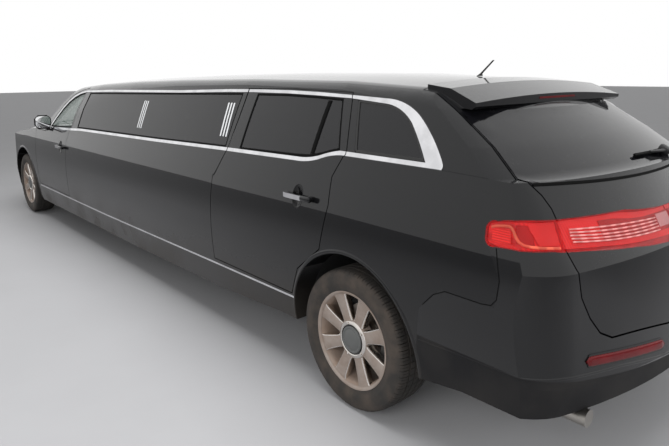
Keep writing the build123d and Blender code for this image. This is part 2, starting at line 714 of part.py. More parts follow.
# Fixed side windows
fixed_windows = joined(
    side_prism(at_front(STRETCH_GLASS_FRONT) + at_rear(STRETCH_GLASS_REAR), DOOR_INNER_Y, CUT_Y),
    side_prism(at_rear(QUARTER_GLASS), DOOR_INNER_Y, CUT_Y),
)
fixed_pane = common(glass_skin, fixed_windows)
save(joined(fixed_pane, mirrored(fixed_pane)), "side_glass")
save(joined(fixed_trim, mirrored(fixed_trim)), "side_trim")

# Body sides, roof, cowl, floor and rear bumper
roof_zone = block(tailgate_x, HEADER_X, -1, ROOF_HALF, 1450, CUT_Z)
cowl_zone = block(front_x(-1100), COWL_X, -1, 780, COWL_UNDERSIDE_Z, 1140)
floor_zone = joined(
    block(rear_x(-1000), COWL_X, -1, 780, 0, 420),
    block(FIREWALL_X - 1, COWL_X, -1, 780, 0, COWL_UNDERSIDE_Z),
    axle_drum(REAR_AXLE_X, -1, WELL_INNER_Y + 330, ARCH_RADIUS + WELL_WALL + 1),
)
bumper_zone = side_prism(at_rear(BUMPER_REAR))
tailgate_plate = block(tailgate_x - HINGE_PLATE, tailgate_x, *TAILGATE_PLATE_Y, *TAILGATE_PLATE_Z)
roof = joined(common(body_left, roof_zone), tailgate_plate)
cowl = common(body_left, cowl_zone)
floor_pan = common(body_left, floor_zone)
rear_bumper = cut(common(body_left, bumper_zone), floor_zone)
body_left = cut(body_left, fixed_windows, roof_zone, cowl_zone, floor_zone, bumper_zone)
for part, name in ((roof, "roof"), (cowl, "cowl"), (floor_pan, "floor_pan"), (rear_bumper, "rear_bumper")):
    save(joined(part, mirrored(part)), name)
save(body_left, "body_side_left")
save(mirrored(body_left), "body_side_right")

# Front clip: hood, fenders with the wheel wells, bumper, grille and headlamps
nose_limit = block(COWL_X, front_x(1300), -1, CUT_Y, NOSE_BOTTOM_Z, CUT_Z)
front_block = common(lower_outer, hood_block(0), nose_limit)
engine_bay = common(
    joined(
        block(front_x(BAY_REAR), front_x(BAY_FRONT), -1, WELL_INNER_Y - WELL_WALL, BAY_FLOOR_Z, CUT_Z),
        block(front_x(BAY_REAR), front_x(BAY_FRONT), -1, 700, BAY_SHELF_Z, CUT_Z),
    ),
    lower_body(60),
    hood_block(HOOD_WALL),
)
front_well = axle_drum(FRONT_AXLE_X, WELL_INNER_Y, CUT_Y, ARCH_RADIUS)
front_shell = cut(front_block, engine_bay, front_well)


def over_hood(drop):
    """Block above the hood's crown line, lowered by a drop."""
    line = at_front([(x, crown - drop) for x, crown, _, _ in HOOD_STATIONS])
    return side_prism(line + [(front_x(1300), 1400), (front_x(-700), 1400)])


hood_under = over_hood(HOOD_FLANGE)
hood_under_gap = over_hood(HOOD_FLANGE + PANEL_GAP)
hood = common(front_shell, lid_tool(HOOD_HINGE_X, HOOD_HINGE_Z, at_front(HOOD_OUTLINE), 1, 0, PANEL_GAP),
              hood_under)
hood_opening = common(
    lid_tool(HOOD_HINGE_X, HOOD_HINGE_Z, at_front(HOOD_OUTLINE), 1, PANEL_GAP, 0), hood_under_gap)
front_shell = cut(front_shell, hood_opening)
headlamp_zone = block(front_x(HEADLAMP_REAR), front_x(1200), HEADLAMP_Y, CUT_Y, *HEADLAMP_Z)
headlamp = common(cut(front_shell, lower_body(LAMP_DEPTH)), headlamp_zone)
front_shell = cut(front_shell, headlamp)
grille_zone = block(front_x(GRILLE_BACK), front_x(1200), -1, GRILLE_HALF, GRILLE_BOTTOM_Z, GRILLE_TOP_Z)
front_shell = cut(front_shell, grille_zone)
front_bumper_zone = joined(
    side_prism(at_front(BUMPER_FRONT), -1),
    block(front_x(700), front_x(1300), -1, 500, 100, 1100),
)
front_bumper = common(front_shell, front_bumper_zone)
hood_plate = block(HOOD_HINGE_X, HOOD_HINGE_X + HINGE_PLATE, *HOOD_PLATE_Y, *HOOD_PLATE_Z)
fenders = joined(cut(front_shell, front_bumper_zone), hood_plate, *door_plates(COWL_X))
with BuildPart() as grille:
    pitch = (GRILLE_TOP_Z - GRILLE_BOTTOM_Z) / GRILLE_BARS
    with BuildSketch(Plane.YZ.offset(front_x(GRILLE_BACK))):
        with Locations((GRILLE_HALF / 2, (GRILLE_TOP_Z + GRILLE_BOTTOM_Z) / 2)):
            Rectangle(GRILLE_HALF, GRILLE_TOP_Z - GRILLE_BOTTOM_Z)
    extrude(amount=GRILLE_PLATE)
    with BuildSketch(Plane.YZ.offset(front_x(GRILLE_BACK))):
        for bar in range(GRILLE_BARS):
            with Locations((GRILLE_HALF / 2, GRILLE_BOTTOM_Z + (bar + 0.5) * pitch)):
                Rectangle(GRILLE_HALF, BAR_SHARE * pitch)
    extrude(amount=200)
    add(lower_body(GRILLE_INSET), mode=Mode.INTERSECT)
for part, name in ((hood, "hood"), (fenders, "front_fenders"), (front_bumper, "front_bumper"),
                   (headlamp, "headlamps"), (grille.part, "grille")):
    save(joined(part, mirrored(part)), name)

# Wheels: rim with eight broad spokes, brake disc and hub, and the tyre
with BuildPart() as rim:
    with BuildSketch(Plane.XY):
        with BuildLine():
            Polyline((-RIM_HALF_WIDTH, RIM_INNER_RADIUS), (-RIM_HALF_WIDTH, RIM_RADIUS),
                     (RIM_HALF_WIDTH, RIM_RADIUS), (RIM_HALF_WIDTH, RIM_INNER_RADIUS), close=True)
        make_face()
    revolve(axis=Axis.X)
    with BuildSketch(Plane.YZ.offset(SPOKE_BACK)):
        Circle(SPOKE_ROOT_RADIUS)
        with PolarLocations(0, SPOKES):
            Polygon((SPOKE_ROOT_RADIUS - 20, -SPOKE_ROOT_WIDTH / 2), (SPOKE_TIP_RADIUS, -SPOKE_TIP_WIDTH / 2),
                    (SPOKE_TIP_RADIUS, SPOKE_TIP_WIDTH / 2), (SPOKE_ROOT_RADIUS - 20, SPOKE_ROOT_WIDTH / 2),
                    align=None)
    extrude(amount=SPOKE_DEPTH)
    with BuildSketch(Plane.YZ.offset(DISC_BACK)):
        Circle(DISC_RADIUS)
    extrude(amount=DISC_THICKNESS)
    with BuildSketch(Plane.YZ.offset(DISC_BACK + DISC_THICKNESS)):
        Circle(HUB_RADIUS)
    extrude(amount=SPOKE_BACK - DISC_BACK - DISC_THICKNESS)
with BuildPart() as tyre:
    with BuildSketch(Plane.XY):
        with BuildLine():
            Polyline((-TYRE_WIDTH / 2, RIM_RADIUS + SEAT_GAP), (TYRE_WIDTH / 2, RIM_RADIUS + SEAT_GAP),
                     (TYRE_WIDTH / 2, TYRE_RADIUS), (-TYRE_WIDTH / 2, TYRE_RADIUS), close=True)
        make_face()
    revolve(axis=Axis.X)


def wheel_at(part, x, side):
    """Turn a wheel piece built along +X to face outwards on one side."""
    with BuildPart() as placed:
        with Locations(Location((x, side * WHEEL_PLANE_Y, TYRE_RADIUS), (0, 0, side * 90))):
            add(part)
    return placed.part


for axle, axle_x in (("front", FRONT_AXLE_X), ("rear", REAR_AXLE_X)):
    for side_name, side in (("left", 1), ("right", -1)):
        save(wheel_at(rim.part, axle_x, side), f"rim_{axle}_{side_name}")
        save(wheel_at(tyre.part, axle_x, side), f"tyre_{axle}_{side_name}")

# Knuckles, axles and subframes
hub_face_y = WHEEL_PLANE_Y + DISC_BACK - SEAT_GAP
for axle, axle_x, under in (("front", FRONT_AXLE_X, front_block), ("rear", REAR_AXLE_X, cabin_block)):
    knuckle = joined(
        axle_drum(axle_x, CARRIER_Y, hub_face_y, CARRIER_RADIUS),
        block(axle_x - 35, axle_x + 35, UPRIGHT_Y, CARRIER_Y + 5, UPRIGHT_LOW_Z, UPRIGHT_TOP_Z),
    )
    arm_z = UPRIGHT_LOW_Z - SEAT_GAP
    rails = joined(
        block(axle_x - 260, axle_x - 190, 0, 430, arm_z - 45, 420),
        block(axle_x + 190, axle_x + 260, 0, 430, arm_z - 45, 420),
        block(axle_x - 260, axle_x + 260, 370, 430, arm_z - 45, 420),
    )
    arm = block(axle_x - 45, axle_x + 45, 0, UPRIGHT_Y + 20, arm_z - 40, arm_z)
    beam = cut(joined(rails, arm), under)
    strut = common(
        axle_strut(axle_x, UPRIGHT_Y + 20, UPRIGHT_TOP_Z + SEAT_GAP, STRUT_TOP_Z),
        axle_drum(axle_x, WELL_INNER_Y, CUT_Y, ARCH_RADIUS),
    )
    fixed = joined(beam, strut) if axle == "front" else cut(joined(beam, strut, knuckle), floor_pan)
    save(joined(fixed, mirrored(fixed)), f"{axle}_subframe")
    if axle == "front":
        save(knuckle, "knuckle_left")
        save(mirrored(knuckle), "knuckle_right")


def mirror_outline():
    """Outline of the mirror's back edge, with its corners cut off."""
    wide, high = MIRROR_WIDTH / 2, MIRROR_HEIGHT / 2
    short = MIRROR_CORNER
    return [(-wide, -high + short), (-wide + short, -high), (wide - short, -high), (wide, -high + short),
            (wide, high - short), (wide - short, high), (-wide + short, high), (-wide, high - short)]


with BuildPart() as housing:
    with BuildSketch(Plane.YZ.offset(front_x(MIRROR_X))):
        with Locations((MIRROR_Y, MIRROR_Z)):
            Polygon(*mirror_outline())
    extrude(amount=MIRROR_DEPTH, taper=MIRROR_TAPER)
arm = cut(
    block(front_x(MIRROR_X) + 20, front_x(MIRROR_X) + 75, 880, MIRROR_Y - 40, *MIRROR_ARM_Z),
    lower_outer, upper_outer, trim_left)
mirror_left = joined(housing.part, arm)
save(mirror_left, "mirror_left")
save(mirrored(mirror_left), "mirror_right")

# Roof spoiler on the tailgate
with BuildPart() as blade:
    for x, top, half in SPOILER:
        with BuildSketch(Plane.YZ.offset(rear_x(x))):
            with BuildLine():
                Line((-1, 1400), (half, 1400))
                Line((half, 1400), (half, top - SPOILER_DROP))
                ThreePointArc((half, top - SPOILER_DROP), (half / 2, top - SPOILER_DROP / 4), (0, top))
                Line((0, top), (-1, top))
                Line((-1, top), (-1, 1400))
            make_face()
    loft(ruled=True)
spoiler = cut(
    common(blade.part, side_prism(at_rear(SPOILER_OUTLINE)), block(rear_x(-600), 0, 0, CUT_Y, 0, CUT_Z)),
    upper_outer)
save(joined(spoiler, mirrored(spoiler)), "spoiler")

# Bright strip along the sill
strip = at_rear(SILL_STRIP_REAR) + at_front(SILL_STRIP_FRONT)
strip_low = [(x, z - SILL_STRIP) for x, z in strip]
sill_strip = cut(common(lower_body(-CHROME_PROUD), side_prism(strip + strip_low[::-1], 0)), lower_outer)
save(joined(sill_strip, mirrored(sill_strip)), "sill_strips")

# Antenna on the roof
mast = [(-80, ANTENNA_FOOT_Z), (-44, ANTENNA_FOOT_Z), (-68, ANTENNA_FOOT_Z + 14),
        (-148, ANTENNA_TOP_Z), (-154, ANTENNA_TOP_Z), (-78, ANTENNA_FOOT_Z + 14)]
save(side_prism(at_rear(mast), -ANTENNA_HALF, ANTENNA_HALF), "antenna")

# Engine, tank and exhaust
save(block(front_x(-330), front_x(330), -250, 250, BAY_FLOOR_Z, 900), "engine")
tank = cut(block(rear_x(620), rear_x(1400), -420, 420, 190, 300), cabin_block, mirrored(cabin_block))
save(tank, "fuel_tank")


def pipe(x_from, x_to, y, z, radius):
    with BuildPart() as tube:
        with BuildSketch(Plane.YZ.offset(x_from)):
            with Locations((y, z)):
                Circle(radius)
        extrude(amount=x_to - x_from)
    return tube.part


tips = [pipe(rear_x(-1130), rear_x(-880), side * 690, 362, 36) for side in (1, -1)]
muffler = cut(block(rear_x(1500), rear_x(1701), -120, 120, 175, 320), cabin_block, mirrored(cabin_block))
exhaust = joined(pipe(rear_x(1700), front_x(-700), 0, 205, 30), muffler)
tips = cut(joined(*tips), cabin_block, mirrored(cabin_block))
save(joined(exhaust, tips), "exhaust")


def seat(x, y, width, depth, back_height):
    """Cushion and leaning backrest that faces forwards."""
    with BuildPart() as piece:
        with BuildSketch(Plane.XZ.offset(-y - width / 2)):
            with BuildLine():
                Polyline((x, 430), (x + depth, 450), (x + depth, 590), (x + 120, 560),
                         (x - 60, 560 + back_height), (x - 190, 560 + back_height), (x - 20, 430), close=True)
            make_face()
        extrude(amount=width)
        fillet(piece.edges().filter_by(Axis.Y), 25)
    return piece.part


# Inside the cabin
front_seat = joined(
    seat(FRONT_SEAT_X, FRONT_SEAT_Y, 500, 500, 620),
    block(FRONT_SEAT_X, FRONT_SEAT_X + 400, FRONT_SEAT_Y - 180, FRONT_SEAT_Y + 180, FLOOR_TOP, SEAT_BASE_Z),
)
save(joined(front_seat, mirrored(front_seat)), "front_seats")
rear_bench = joined(
    seat(REAR_BENCH_X, 0, 1300, 480, 560),
    block(REAR_BENCH_X, REAR_BENCH_X + 440, -560, 560, FLOOR_TOP + 70, SEAT_BASE_Z),
)
side_bench = joined(
    block(*SIDE_BENCH_X, -830, -330, FLOOR_TOP, SIDE_BENCH_Z),
    block(*SIDE_BENCH_X, -830, -700, SIDE_BENCH_Z, SIDE_BENCH_Z + 440),
)
save(cut(joined(rear_bench, side_bench), floor_pan, mirrored(floor_pan)), "lounge_seats")
save(block(*BAR_X, 540, 825, FLOOR_TOP, BAR_TOP_Z), "bar_cabinet")
partition = common(
    joined(lower_hollow, upper_hollow),
    block(PARTITION_X, PARTITION_X + PARTITION_WALL, 0, CUT_Y, FLOOR_TOP, CUT_Z))
partition = cut(partition, block(PARTITION_X - 80, PARTITION_X + 120, -1, PARTITION_HALF, *PARTITION_Z))
save(joined(partition, mirrored(partition)), "partition")
dash = side_prism(
    at_front([(-663, 700), (-663, 1080), (-850, 1080), (-1010, 1040), (-1040, 960), (-960, 760)]), -800, 800)
save(dash, "dashboard")
with BuildPart() as steering_wheel:
    rake = radians(STEERING_RAKE)
    hub_plane = Plane(origin=STEERING_HUB, z_dir=(-cos(rake), 0, sin(rake)))
    with BuildSketch(hub_plane.offset(-9)):
        RegularPolygon(STEERING_RADIUS, 24)
        RegularPolygon(STEERING_RADIUS - 22, 24, mode=Mode.SUBTRACT)
        Rectangle(340, 34)
        RegularPolygon(62, 12)
    extrude(amount=18)
    with BuildSketch(hub_plane.offset(-9)):
        RegularPolygon(28, 8)
    extrude(amount=-150)
    add(dash, mode=Mode.SUBTRACT)
save(steering_wheel.part, "steering_wheel")
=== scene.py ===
"""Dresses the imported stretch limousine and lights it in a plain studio."""

import json
import logging
import math
from dataclasses import dataclass, field
from enum import Enum
from typing import Callable, Iterable, Sequence

import bpy
from mathutils import Matrix, Vector, noise
from mathutils.bvhtree import BVHTree

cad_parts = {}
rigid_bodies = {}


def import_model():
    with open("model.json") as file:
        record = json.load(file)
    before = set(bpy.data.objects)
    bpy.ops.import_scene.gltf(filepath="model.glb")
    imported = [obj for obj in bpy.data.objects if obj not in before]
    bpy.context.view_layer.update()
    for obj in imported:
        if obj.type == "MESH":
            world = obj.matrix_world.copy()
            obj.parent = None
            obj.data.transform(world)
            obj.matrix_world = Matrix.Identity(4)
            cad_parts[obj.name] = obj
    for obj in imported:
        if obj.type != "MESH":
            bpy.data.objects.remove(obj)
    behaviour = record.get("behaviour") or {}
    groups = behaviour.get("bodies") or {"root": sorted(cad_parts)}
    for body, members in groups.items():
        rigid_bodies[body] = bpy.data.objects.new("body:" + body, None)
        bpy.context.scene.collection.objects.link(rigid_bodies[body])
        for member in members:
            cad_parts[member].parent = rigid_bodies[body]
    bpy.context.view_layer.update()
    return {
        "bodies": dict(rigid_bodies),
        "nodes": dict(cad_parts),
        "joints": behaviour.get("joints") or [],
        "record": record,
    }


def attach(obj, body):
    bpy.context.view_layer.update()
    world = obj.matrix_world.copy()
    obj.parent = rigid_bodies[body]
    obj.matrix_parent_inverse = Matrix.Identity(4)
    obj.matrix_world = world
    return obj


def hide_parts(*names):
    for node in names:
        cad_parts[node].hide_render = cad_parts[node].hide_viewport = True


LOG = logging.getLogger("limousine")

REAR_AXLE = -2.9125
FRONT_AXLE = 3.1305
AXLE_HEIGHT = 0.370
WHEEL_PLANE = 0.830
QUARTER_TURN = 90.0
SIDE_DISTANCE = 1.4
END_DISTANCE = 5.0
TAIL_DISTANCE = 2.5

Colour = tuple[float, float, float]
Place = tuple[float, float, float]
Pair = tuple[float, float]
Hit = tuple[Vector, Vector]
Grid = list[list[Hit]]

BODY_BLACK: Colour = (0.0035, 0.0036, 0.0042)
COAT_ROUGHNESS = 0.025
COAT_IOR = 1.42


class Side(Enum):
    """The two sides of the car, with the sign of Y on each."""

    LEFT = 1
    RIGHT = -1

    @property
    def word(self) -> str:
        """The side's name as bodies and nodes spell it."""
        return self.name.lower()


class End(Enum):
    """The two axles, with their places along the car."""

    FRONT = FRONT_AXLE
    REAR = REAR_AXLE

    @property
    def word(self) -> str:
        """The end's name as bodies and nodes spell it."""
        return self.name.lower()


class Shape(Enum):
    """How a swept piece's path ends."""

    OPEN = "open"
    CLOSED = "closed"


def behind(distance: float) -> float:
    """X of a place given by its distance ahead of the rear axle."""
    return REAR_AXLE + distance


def ahead(distance: float) -> float:
    """X of a place given by its distance ahead of the front axle."""
    return FRONT_AXLE + distance


def shade(colour: Colour, factor: float, lift: float = 0.0) -> Colour:
    """A darker or lighter tone of a colour."""
    return tuple(factor * part + lift for part in colour)


def height_on(line: Sequence[Pair], place: float) -> float:
    """Second number of a broken line at a place given by its first, level beyond its ends.

    Args:
        line: Corners of the broken line.
        place: Place along the line.

    Returns:
        The second number there.
    """
    for (a, low), (b, high) in zip(line, line[1:]):
        if place <= b:
            return low + (high - low) * max(0.0, (place - a) / (b - a))
    return line[-1][1]


def mirrored(*half: Pair) -> list[Pair]:
    """Section made of its left half and the same half mirrored."""
    return [*half, *((-a, b) for a, b in reversed(half))]


def at(x: float, y: float, z: float, turn: float = 0.0, axis: str = "Z") -> Matrix:
    """Matrix that turns a shape by degrees about an axis and then moves it to a place."""
    return Matrix.Translation((x, y, z)) @ Matrix.Rotation(math.radians(turn), 4, axis)


class Value:
    """One output socket, with arithmetic that adds Math nodes.

    Args:
        graph: The graph that the socket belongs to.
        socket: The output socket.
    """

    def __init__(self, graph: "Graph", socket: bpy.types.NodeSocket) -> None:
        """Keep the graph and the socket."""
        self.graph = graph
        self.socket = socket

    def _math(self, operation: str, first: "Value | float", second: "Value | float" = 0.0) -> "Value":
        """Add one Math node on two values."""
        return self.graph.node("ShaderNodeMath", {"operation": operation}, {0: first, 1: second})

    def __add__(self, other: "Value | float") -> "Value":
        """Add two values."""
        return self._math("ADD", self, other)

    __radd__ = __add__

    def __sub__(self, other: "Value | float") -> "Value":
        """Subtract a value from this one."""
        return self._math("SUBTRACT", self, other)

    def __rsub__(self, other: float) -> "Value":
        """Subtract this value from a number."""
        return self._math("SUBTRACT", other, self)

    def __mul__(self, other: "Value | float") -> "Value":
        """Multiply two values."""
        return self._math("MULTIPLY", self, other)

    __rmul__ = __mul__

    def __truediv__(self, other: "Value | float") -> "Value":
        """Divide this value by another."""
        return self._math("DIVIDE", self, other)

    def __pow__(self, other: "Value | float") -> "Value":
        """Raise this value to a power."""
        return self._math("POWER", self, other)

    def __abs__(self) -> "Value":
        """Take the value without its sign."""
        return self._math("ABSOLUTE", self)

    def step(self, low: float, high: float, start: float = 0.0, end: float = 1.0) -> "Value":
        """Ease from one number to another as the value crosses a range.

        Args:
            low: Value at which the result is start.
            high: Value at which the result is end.
            start: Result below the range.
            end: Result above the range.

        Returns:
            The eased value.
        """
        return self.graph.node("ShaderNodeMapRange", {"interpolation_type": "SMOOTHSTEP"},
                               {0: self, 1: low, 2: high, 3: start, 4: end})


class Graph:
    """A material with one Principled shader, built by calls."""

    def __init__(self, name: str) -> None:
        """Make the material and its shader.

        Args:
            name: Name to give it.
        """
        self.material = bpy.data.materials.new(name)
        self.material.use_nodes = True
        self.tree = self.material.node_tree
        self.tree.nodes.clear()
        self.output = self.tree.nodes.new("ShaderNodeOutputMaterial")
        self.shader = self.tree.nodes.new("ShaderNodeBsdfPrincipled")
        self.tree.links.new(self.shader.outputs[0], self.output.inputs[0])

    def node(self, kind: str, settings: dict | None = None, inputs: dict | None = None,
             output: int | str = 0) -> Value:
        """Add one node.

        Args:
            kind: Blender's name of the node type.
            settings: Properties to set before the sockets.
            inputs: Numbers, colours or values for its input sockets.
            output: The output socket that is wanted.

        Returns:
            The output as a value.
        """
        made = self.tree.nodes.new(kind)
        for key, setting in (settings or {}).items():
            setattr(made, key, setting)
        for key, value in (inputs or {}).items():
            self.feed(made.inputs[key], value)
        return Value(self, made.outputs[output])

    def feed(self, socket: bpy.types.NodeSocket, value: "Value | float | Colour") -> None:
        """Link a value to a socket, or set the socket to a constant.

        Args:
            socket: The input socket.
            value: What it gets.
        """
        if isinstance(value, Value):
            self.tree.links.new(value.socket, socket)
        elif isinstance(value, tuple) and len(socket.default_value) == 4:
            socket.default_value = (*value, 1.0)
        else:
            socket.default_value = value

    def spot(self) -> Value:
        """Object coordinates as a vector."""
        return self.node("ShaderNodeTexCoord", output="Object")

    def place(self) -> tuple[Value, Value, Value]:
        """Object coordinates as three numbers.

        Returns:
            X, Y and Z.
        """
        parts = self.tree.nodes.new("ShaderNodeSeparateXYZ")
        self.tree.links.new(self.spot().socket, parts.inputs[0])
        return Value(self, parts.outputs[0]), Value(self, parts.outputs[1]), Value(self, parts.outputs[2])

    def facing_up(self) -> Value:
        """How far the surface faces upwards, from -1 to 1."""
        normal = self.node("ShaderNodeNewGeometry", output="Normal")
        return self.node("ShaderNodeSeparateXYZ", None, {0: normal}, 2)

    def noise(self, scale: float, detail: float = 4.0, roughness: float = 0.55) -> Value:
        """Noise over object coordinates, from 0 to 1."""
        return self.node("ShaderNodeTexNoise", None,
                         {"Vector": self.spot(), "Scale": scale, "Detail": detail, "Roughness": roughness})

    def cells(self, scale: float, feature: str = "F1") -> Value:
        """Distances in a cell pattern over object coordinates."""
        return self.node("ShaderNodeTexVoronoi", {"feature": feature},
                         {"Vector": self.spot(), "Scale": scale})

    def blend(self, mask: Value, first: "Value | Colour", second: "Value | Colour") -> Value:
        """Mix two colours by a mask.

        Args:
            mask: 0 for the first colour, 1 for the second.
            first: Colour where the mask is 0.
            second: Colour where the mask is 1.

        Returns:
            The mixed colour.
        """
        mixed = self.tree.nodes.new("ShaderNodeMix")
        mixed.data_type = "RGBA"
        self.feed(mixed.inputs[0], mask)
        self.feed(mixed.inputs[6], first)
        self.feed(mixed.inputs[7], second)
        return Value(self, mixed.outputs[2])

    def bump(self, height: Value, distance: float, strength: float = 1.0,
             under: Value | None = None) -> Value:
        """Turn a height into a normal, over another bump where one is given.

        Args:
            height: Height over the surface, from 0 to 1.
            distance: What a height of 1 stands for.
            strength: Share of the effect.
            under: Another bump that it lies on.

        Returns:
            The normal.
        """
        inputs: dict = {"Height": height, "Distance": distance, "Strength": strength}
        if under is not None:
            inputs["Normal"] = under
        return self.node("ShaderNodeBump", None, inputs)

    def dress(self, **sockets: "Value | float | Colour") -> bpy.types.Material:
        """Set the shader's sockets and give the material.

        Args:
            **sockets: Values by socket name, written with underscores.

        Returns:
            The finished material.
        """
        for name, value in sockets.items():
            self.feed(self.shader.inputs[name.replace("_", " ")], value)
        self.material.diffuse_color = self.shader.inputs["Base Color"].default_value
        return self.material


@dataclass(frozen=True)
class Paint:
    """Black body paint under clear coat, with rain drops on top and road dust low down."""

    name: str = "black_paint"
    colour: Colour = BODY_BLACK
    dust: Colour = (0.060, 0.052, 0.044)
    drop_scale: float = 95.0

    def material(self) -> bpy.types.Material:
        """Build the paint.

        Returns:
            The finished material.
        """
        graph = Graph(self.name)
        _, _, height = graph.place()
        grime = graph.noise(3.0, 6.0)
        low = height.step(0.75, 0.22) * grime.step(0.35, 0.75, 0.25, 1.0)
        wet = graph.facing_up().step(0.10, 0.55)
        sparse = graph.noise(31.0, 2.0).step(0.50, 0.62)
        drops = graph.cells(self.drop_scale).step(0.30, 0.10) * sparse * wet
        peel = graph.bump(graph.noise(420.0, 2.0), 0.0004, 0.05)
        shape = graph.bump(drops, 0.0012, 0.7, peel)
        colour = graph.blend(low * 0.55, self.colour, self.dust)
        return graph.dress(Base_Color=colour, Roughness=0.35 + low * 0.3, Coat_Weight=1.0 - low * 0.5,
                           Coat_Roughness=COAT_ROUGHNESS, Coat_IOR=COAT_IOR, Specular_IOR_Level=0.05,
                           Normal=shape)


@dataclass(frozen=True)
class Bumper:
    """Bumper cover: body paint above, grained dark plastic under a curved edge."""

    name: str
    edge_middle: float
    edge_rise: float
    half_width: float = 0.958

    def material(self) -> bpy.types.Material:
        """Build the cover's finish.

        Returns:
            The finished material.
        """
        graph = Graph(self.name)
        _, across, height = graph.place()
        edge = self.edge_middle + self.edge_rise * (abs(across) / self.half_width) ** 1.7
        lower = (edge - height).step(-0.0015, 0.0015)
        grain = graph.cells(700.0)
        grime = graph.noise(4.0, 6.0).step(0.3, 0.8)
        plastic = graph.blend(grime * 0.5, (0.011, 0.011, 0.012), (0.032, 0.030, 0.028))
        colour = graph.blend(lower, BODY_BLACK, plastic)
        return graph.dress(Base_Color=colour, Roughness=0.35 + lower * 0.25, Coat_Weight=1.0 - lower,
                           Coat_Roughness=COAT_ROUGHNESS, Coat_IOR=COAT_IOR, Specular_IOR_Level=0.12,
                           Normal=graph.bump(grain * lower, 0.0003, 0.5))


@dataclass(frozen=True)
class Metal:
    """Plain metal with fine unevenness: bright trim, disc faces, exhaust."""

    name: str
    colour: Colour
    roughness: float
    grain: float = 300.0
    spots: float = 0.06

    def material(self) -> bpy.types.Material:
        """Build the metal.

        Returns:
            The finished material.
        """
        graph = Graph(self.name)
        wear = graph.noise(self.grain, 5.0)
        tone = graph.blend(graph.noise(9.0).step(0.35, 0.7), self.colour, shade(self.colour, 0.82))
        return graph.dress(Base_Color=tone, Metallic=1.0, Roughness=self.roughness + wear * self.spots)


@dataclass(frozen=True)
class WheelAlloy:
    """Machined wheel faces under a film of brown brake and road dust."""

    name: str = "wheel_alloy"
    metal: Colour = (0.55, 0.52, 0.49)
    dust: Colour = (0.19, 0.130, 0.096)
    cover: float = 0.84

    def material(self) -> bpy.types.Material:
        """Build the alloy.

        Returns:
            The finished material.
        """
        graph = Graph(self.name)
        film = graph.noise(16.0, 6.0).step(0.2, 0.75, self.cover - 0.25, self.cover)
        speck = graph.noise(160.0, 3.0)
        turned = graph.bump(speck, 0.0002, 0.35)
        return graph.dress(Base_Color=graph.blend(film, self.metal, self.dust), Metallic=0.9 - film * 0.75,
                           Roughness=0.30 + film * 0.30, Normal=turned)


@dataclass(frozen=True)
class TyreRubber:
    """Tyre rubber, greyed with dry road dust on its walls."""

    name: str = "tyre_rubber"
    rubber: Colour = (0.019, 0.018, 0.017)
    dust: Colour = (0.075, 0.058, 0.046)

    def material(self) -> bpy.types.Material:
        """Build the rubber.

        Returns:
            The finished material.
        """
        graph = Graph(self.name)
        _, across, _ = graph.place()
        wall = abs(across).step(0.096, 0.112)
        film = graph.noise(11.0, 7.0).step(0.25, 0.8) * (0.30 + wall * 0.45)
        grain = graph.bump(graph.noise(500.0, 2.0), 0.0004, 0.4)
        return graph.dress(Base_Color=graph.blend(film, self.rubber, self.dust), Roughness=0.80, Normal=grain)


@dataclass(frozen=True)
class Glass:
    """Window glass with rain drops, clear or privacy dark."""

    name: str
    colour: Colour
    alpha: float
    drop_scale: float = 110.0

    def material(self) -> bpy.types.Material:
        """Build the glass.

        Returns:
            The finished material.
        """
        graph = Graph(self.name)
        sparse = graph.noise(23.0, 2.0).step(0.55, 0.62)
        drops = graph.cells(self.drop_scale).step(0.26, 0.08) * sparse * graph.facing_up().step(0.15, 0.45)
        return graph.dress(Base_Color=self.colour, Roughness=0.02, Alpha=self.alpha + drops * 0.1,
                           Specular_IOR_Level=0.45, Normal=graph.bump(drops, 0.0012, 0.7))


@dataclass(frozen=True)
class Lens:
    """Coloured lamp lens over what is inside it."""

    name: str
    colour: Colour
    alpha: float

    def material(self) -> bpy.types.Material:
        """Build the lens.

        Returns:
            The finished material.
        """
        graph = Graph(self.name)
        swirl = graph.noise(14.0, 3.0)
        colour = graph.blend(swirl.step(0.3, 0.7), self.colour, shade(self.colour, 0.7))
        return graph.dress(Base_Color=colour, Roughness=0.05 + swirl * 0.03, Alpha=self.alpha,
                           Specular_IOR_Level=0.35)


@dataclass(frozen=True)
class LampInside:
    """Reflecting parts behind a lens, fluted like the real reflectors."""

    name: str
    colour: Colour
    metallic: float = 0.4
    flutes: float = 260.0
    flutes_per_band: float = 6.3

    def material(self) -> bpy.types.Material:
        """Build the reflector.

        Returns:
            The finished material.
        """
        graph = Graph(self.name)
        wave = graph.node("ShaderNodeTexWave", {"wave_type": "BANDS", "bands_direction": "Y"},
                          {"Vector": graph.spot(), "Scale": self.flutes / self.flutes_per_band})
        tone = graph.blend(wave.step(0.2, 0.8), self.colour, shade(self.colour, 0.55))
        return graph.dress(Base_Color=tone, Metallic=self.metallic, Roughness=0.22,
                           Normal=graph.bump(wave, 0.001, 0.6))


@dataclass(frozen=True)
class Plastic:
    """Moulded plastic or coated metal with a fine grain."""

    name: str
    colour: Colour
    roughness: float = 0.5
    grain: float = 600.0
    depth: float = 0.00025
    dirt: float = 0.25
    specular: float = 0.5

    def material(self) -> bpy.types.Material:
        """Build the plastic.

        Returns:
            The finished material.
        """
        graph = Graph(self.name)
        pebble = graph.cells(self.grain)
        stain = graph.noise(5.0, 5.0).step(0.4, 0.8, 0.0, self.dirt)
        colour = graph.blend(stain, self.colour, shade(self.colour, 0.5, 0.12 * self.dirt))
        return graph.dress(Base_Color=colour, Roughness=self.roughness + stain * 0.2,
                           Normal=graph.bump(pebble, self.depth, 0.6), Specular_IOR_Level=self.specular)


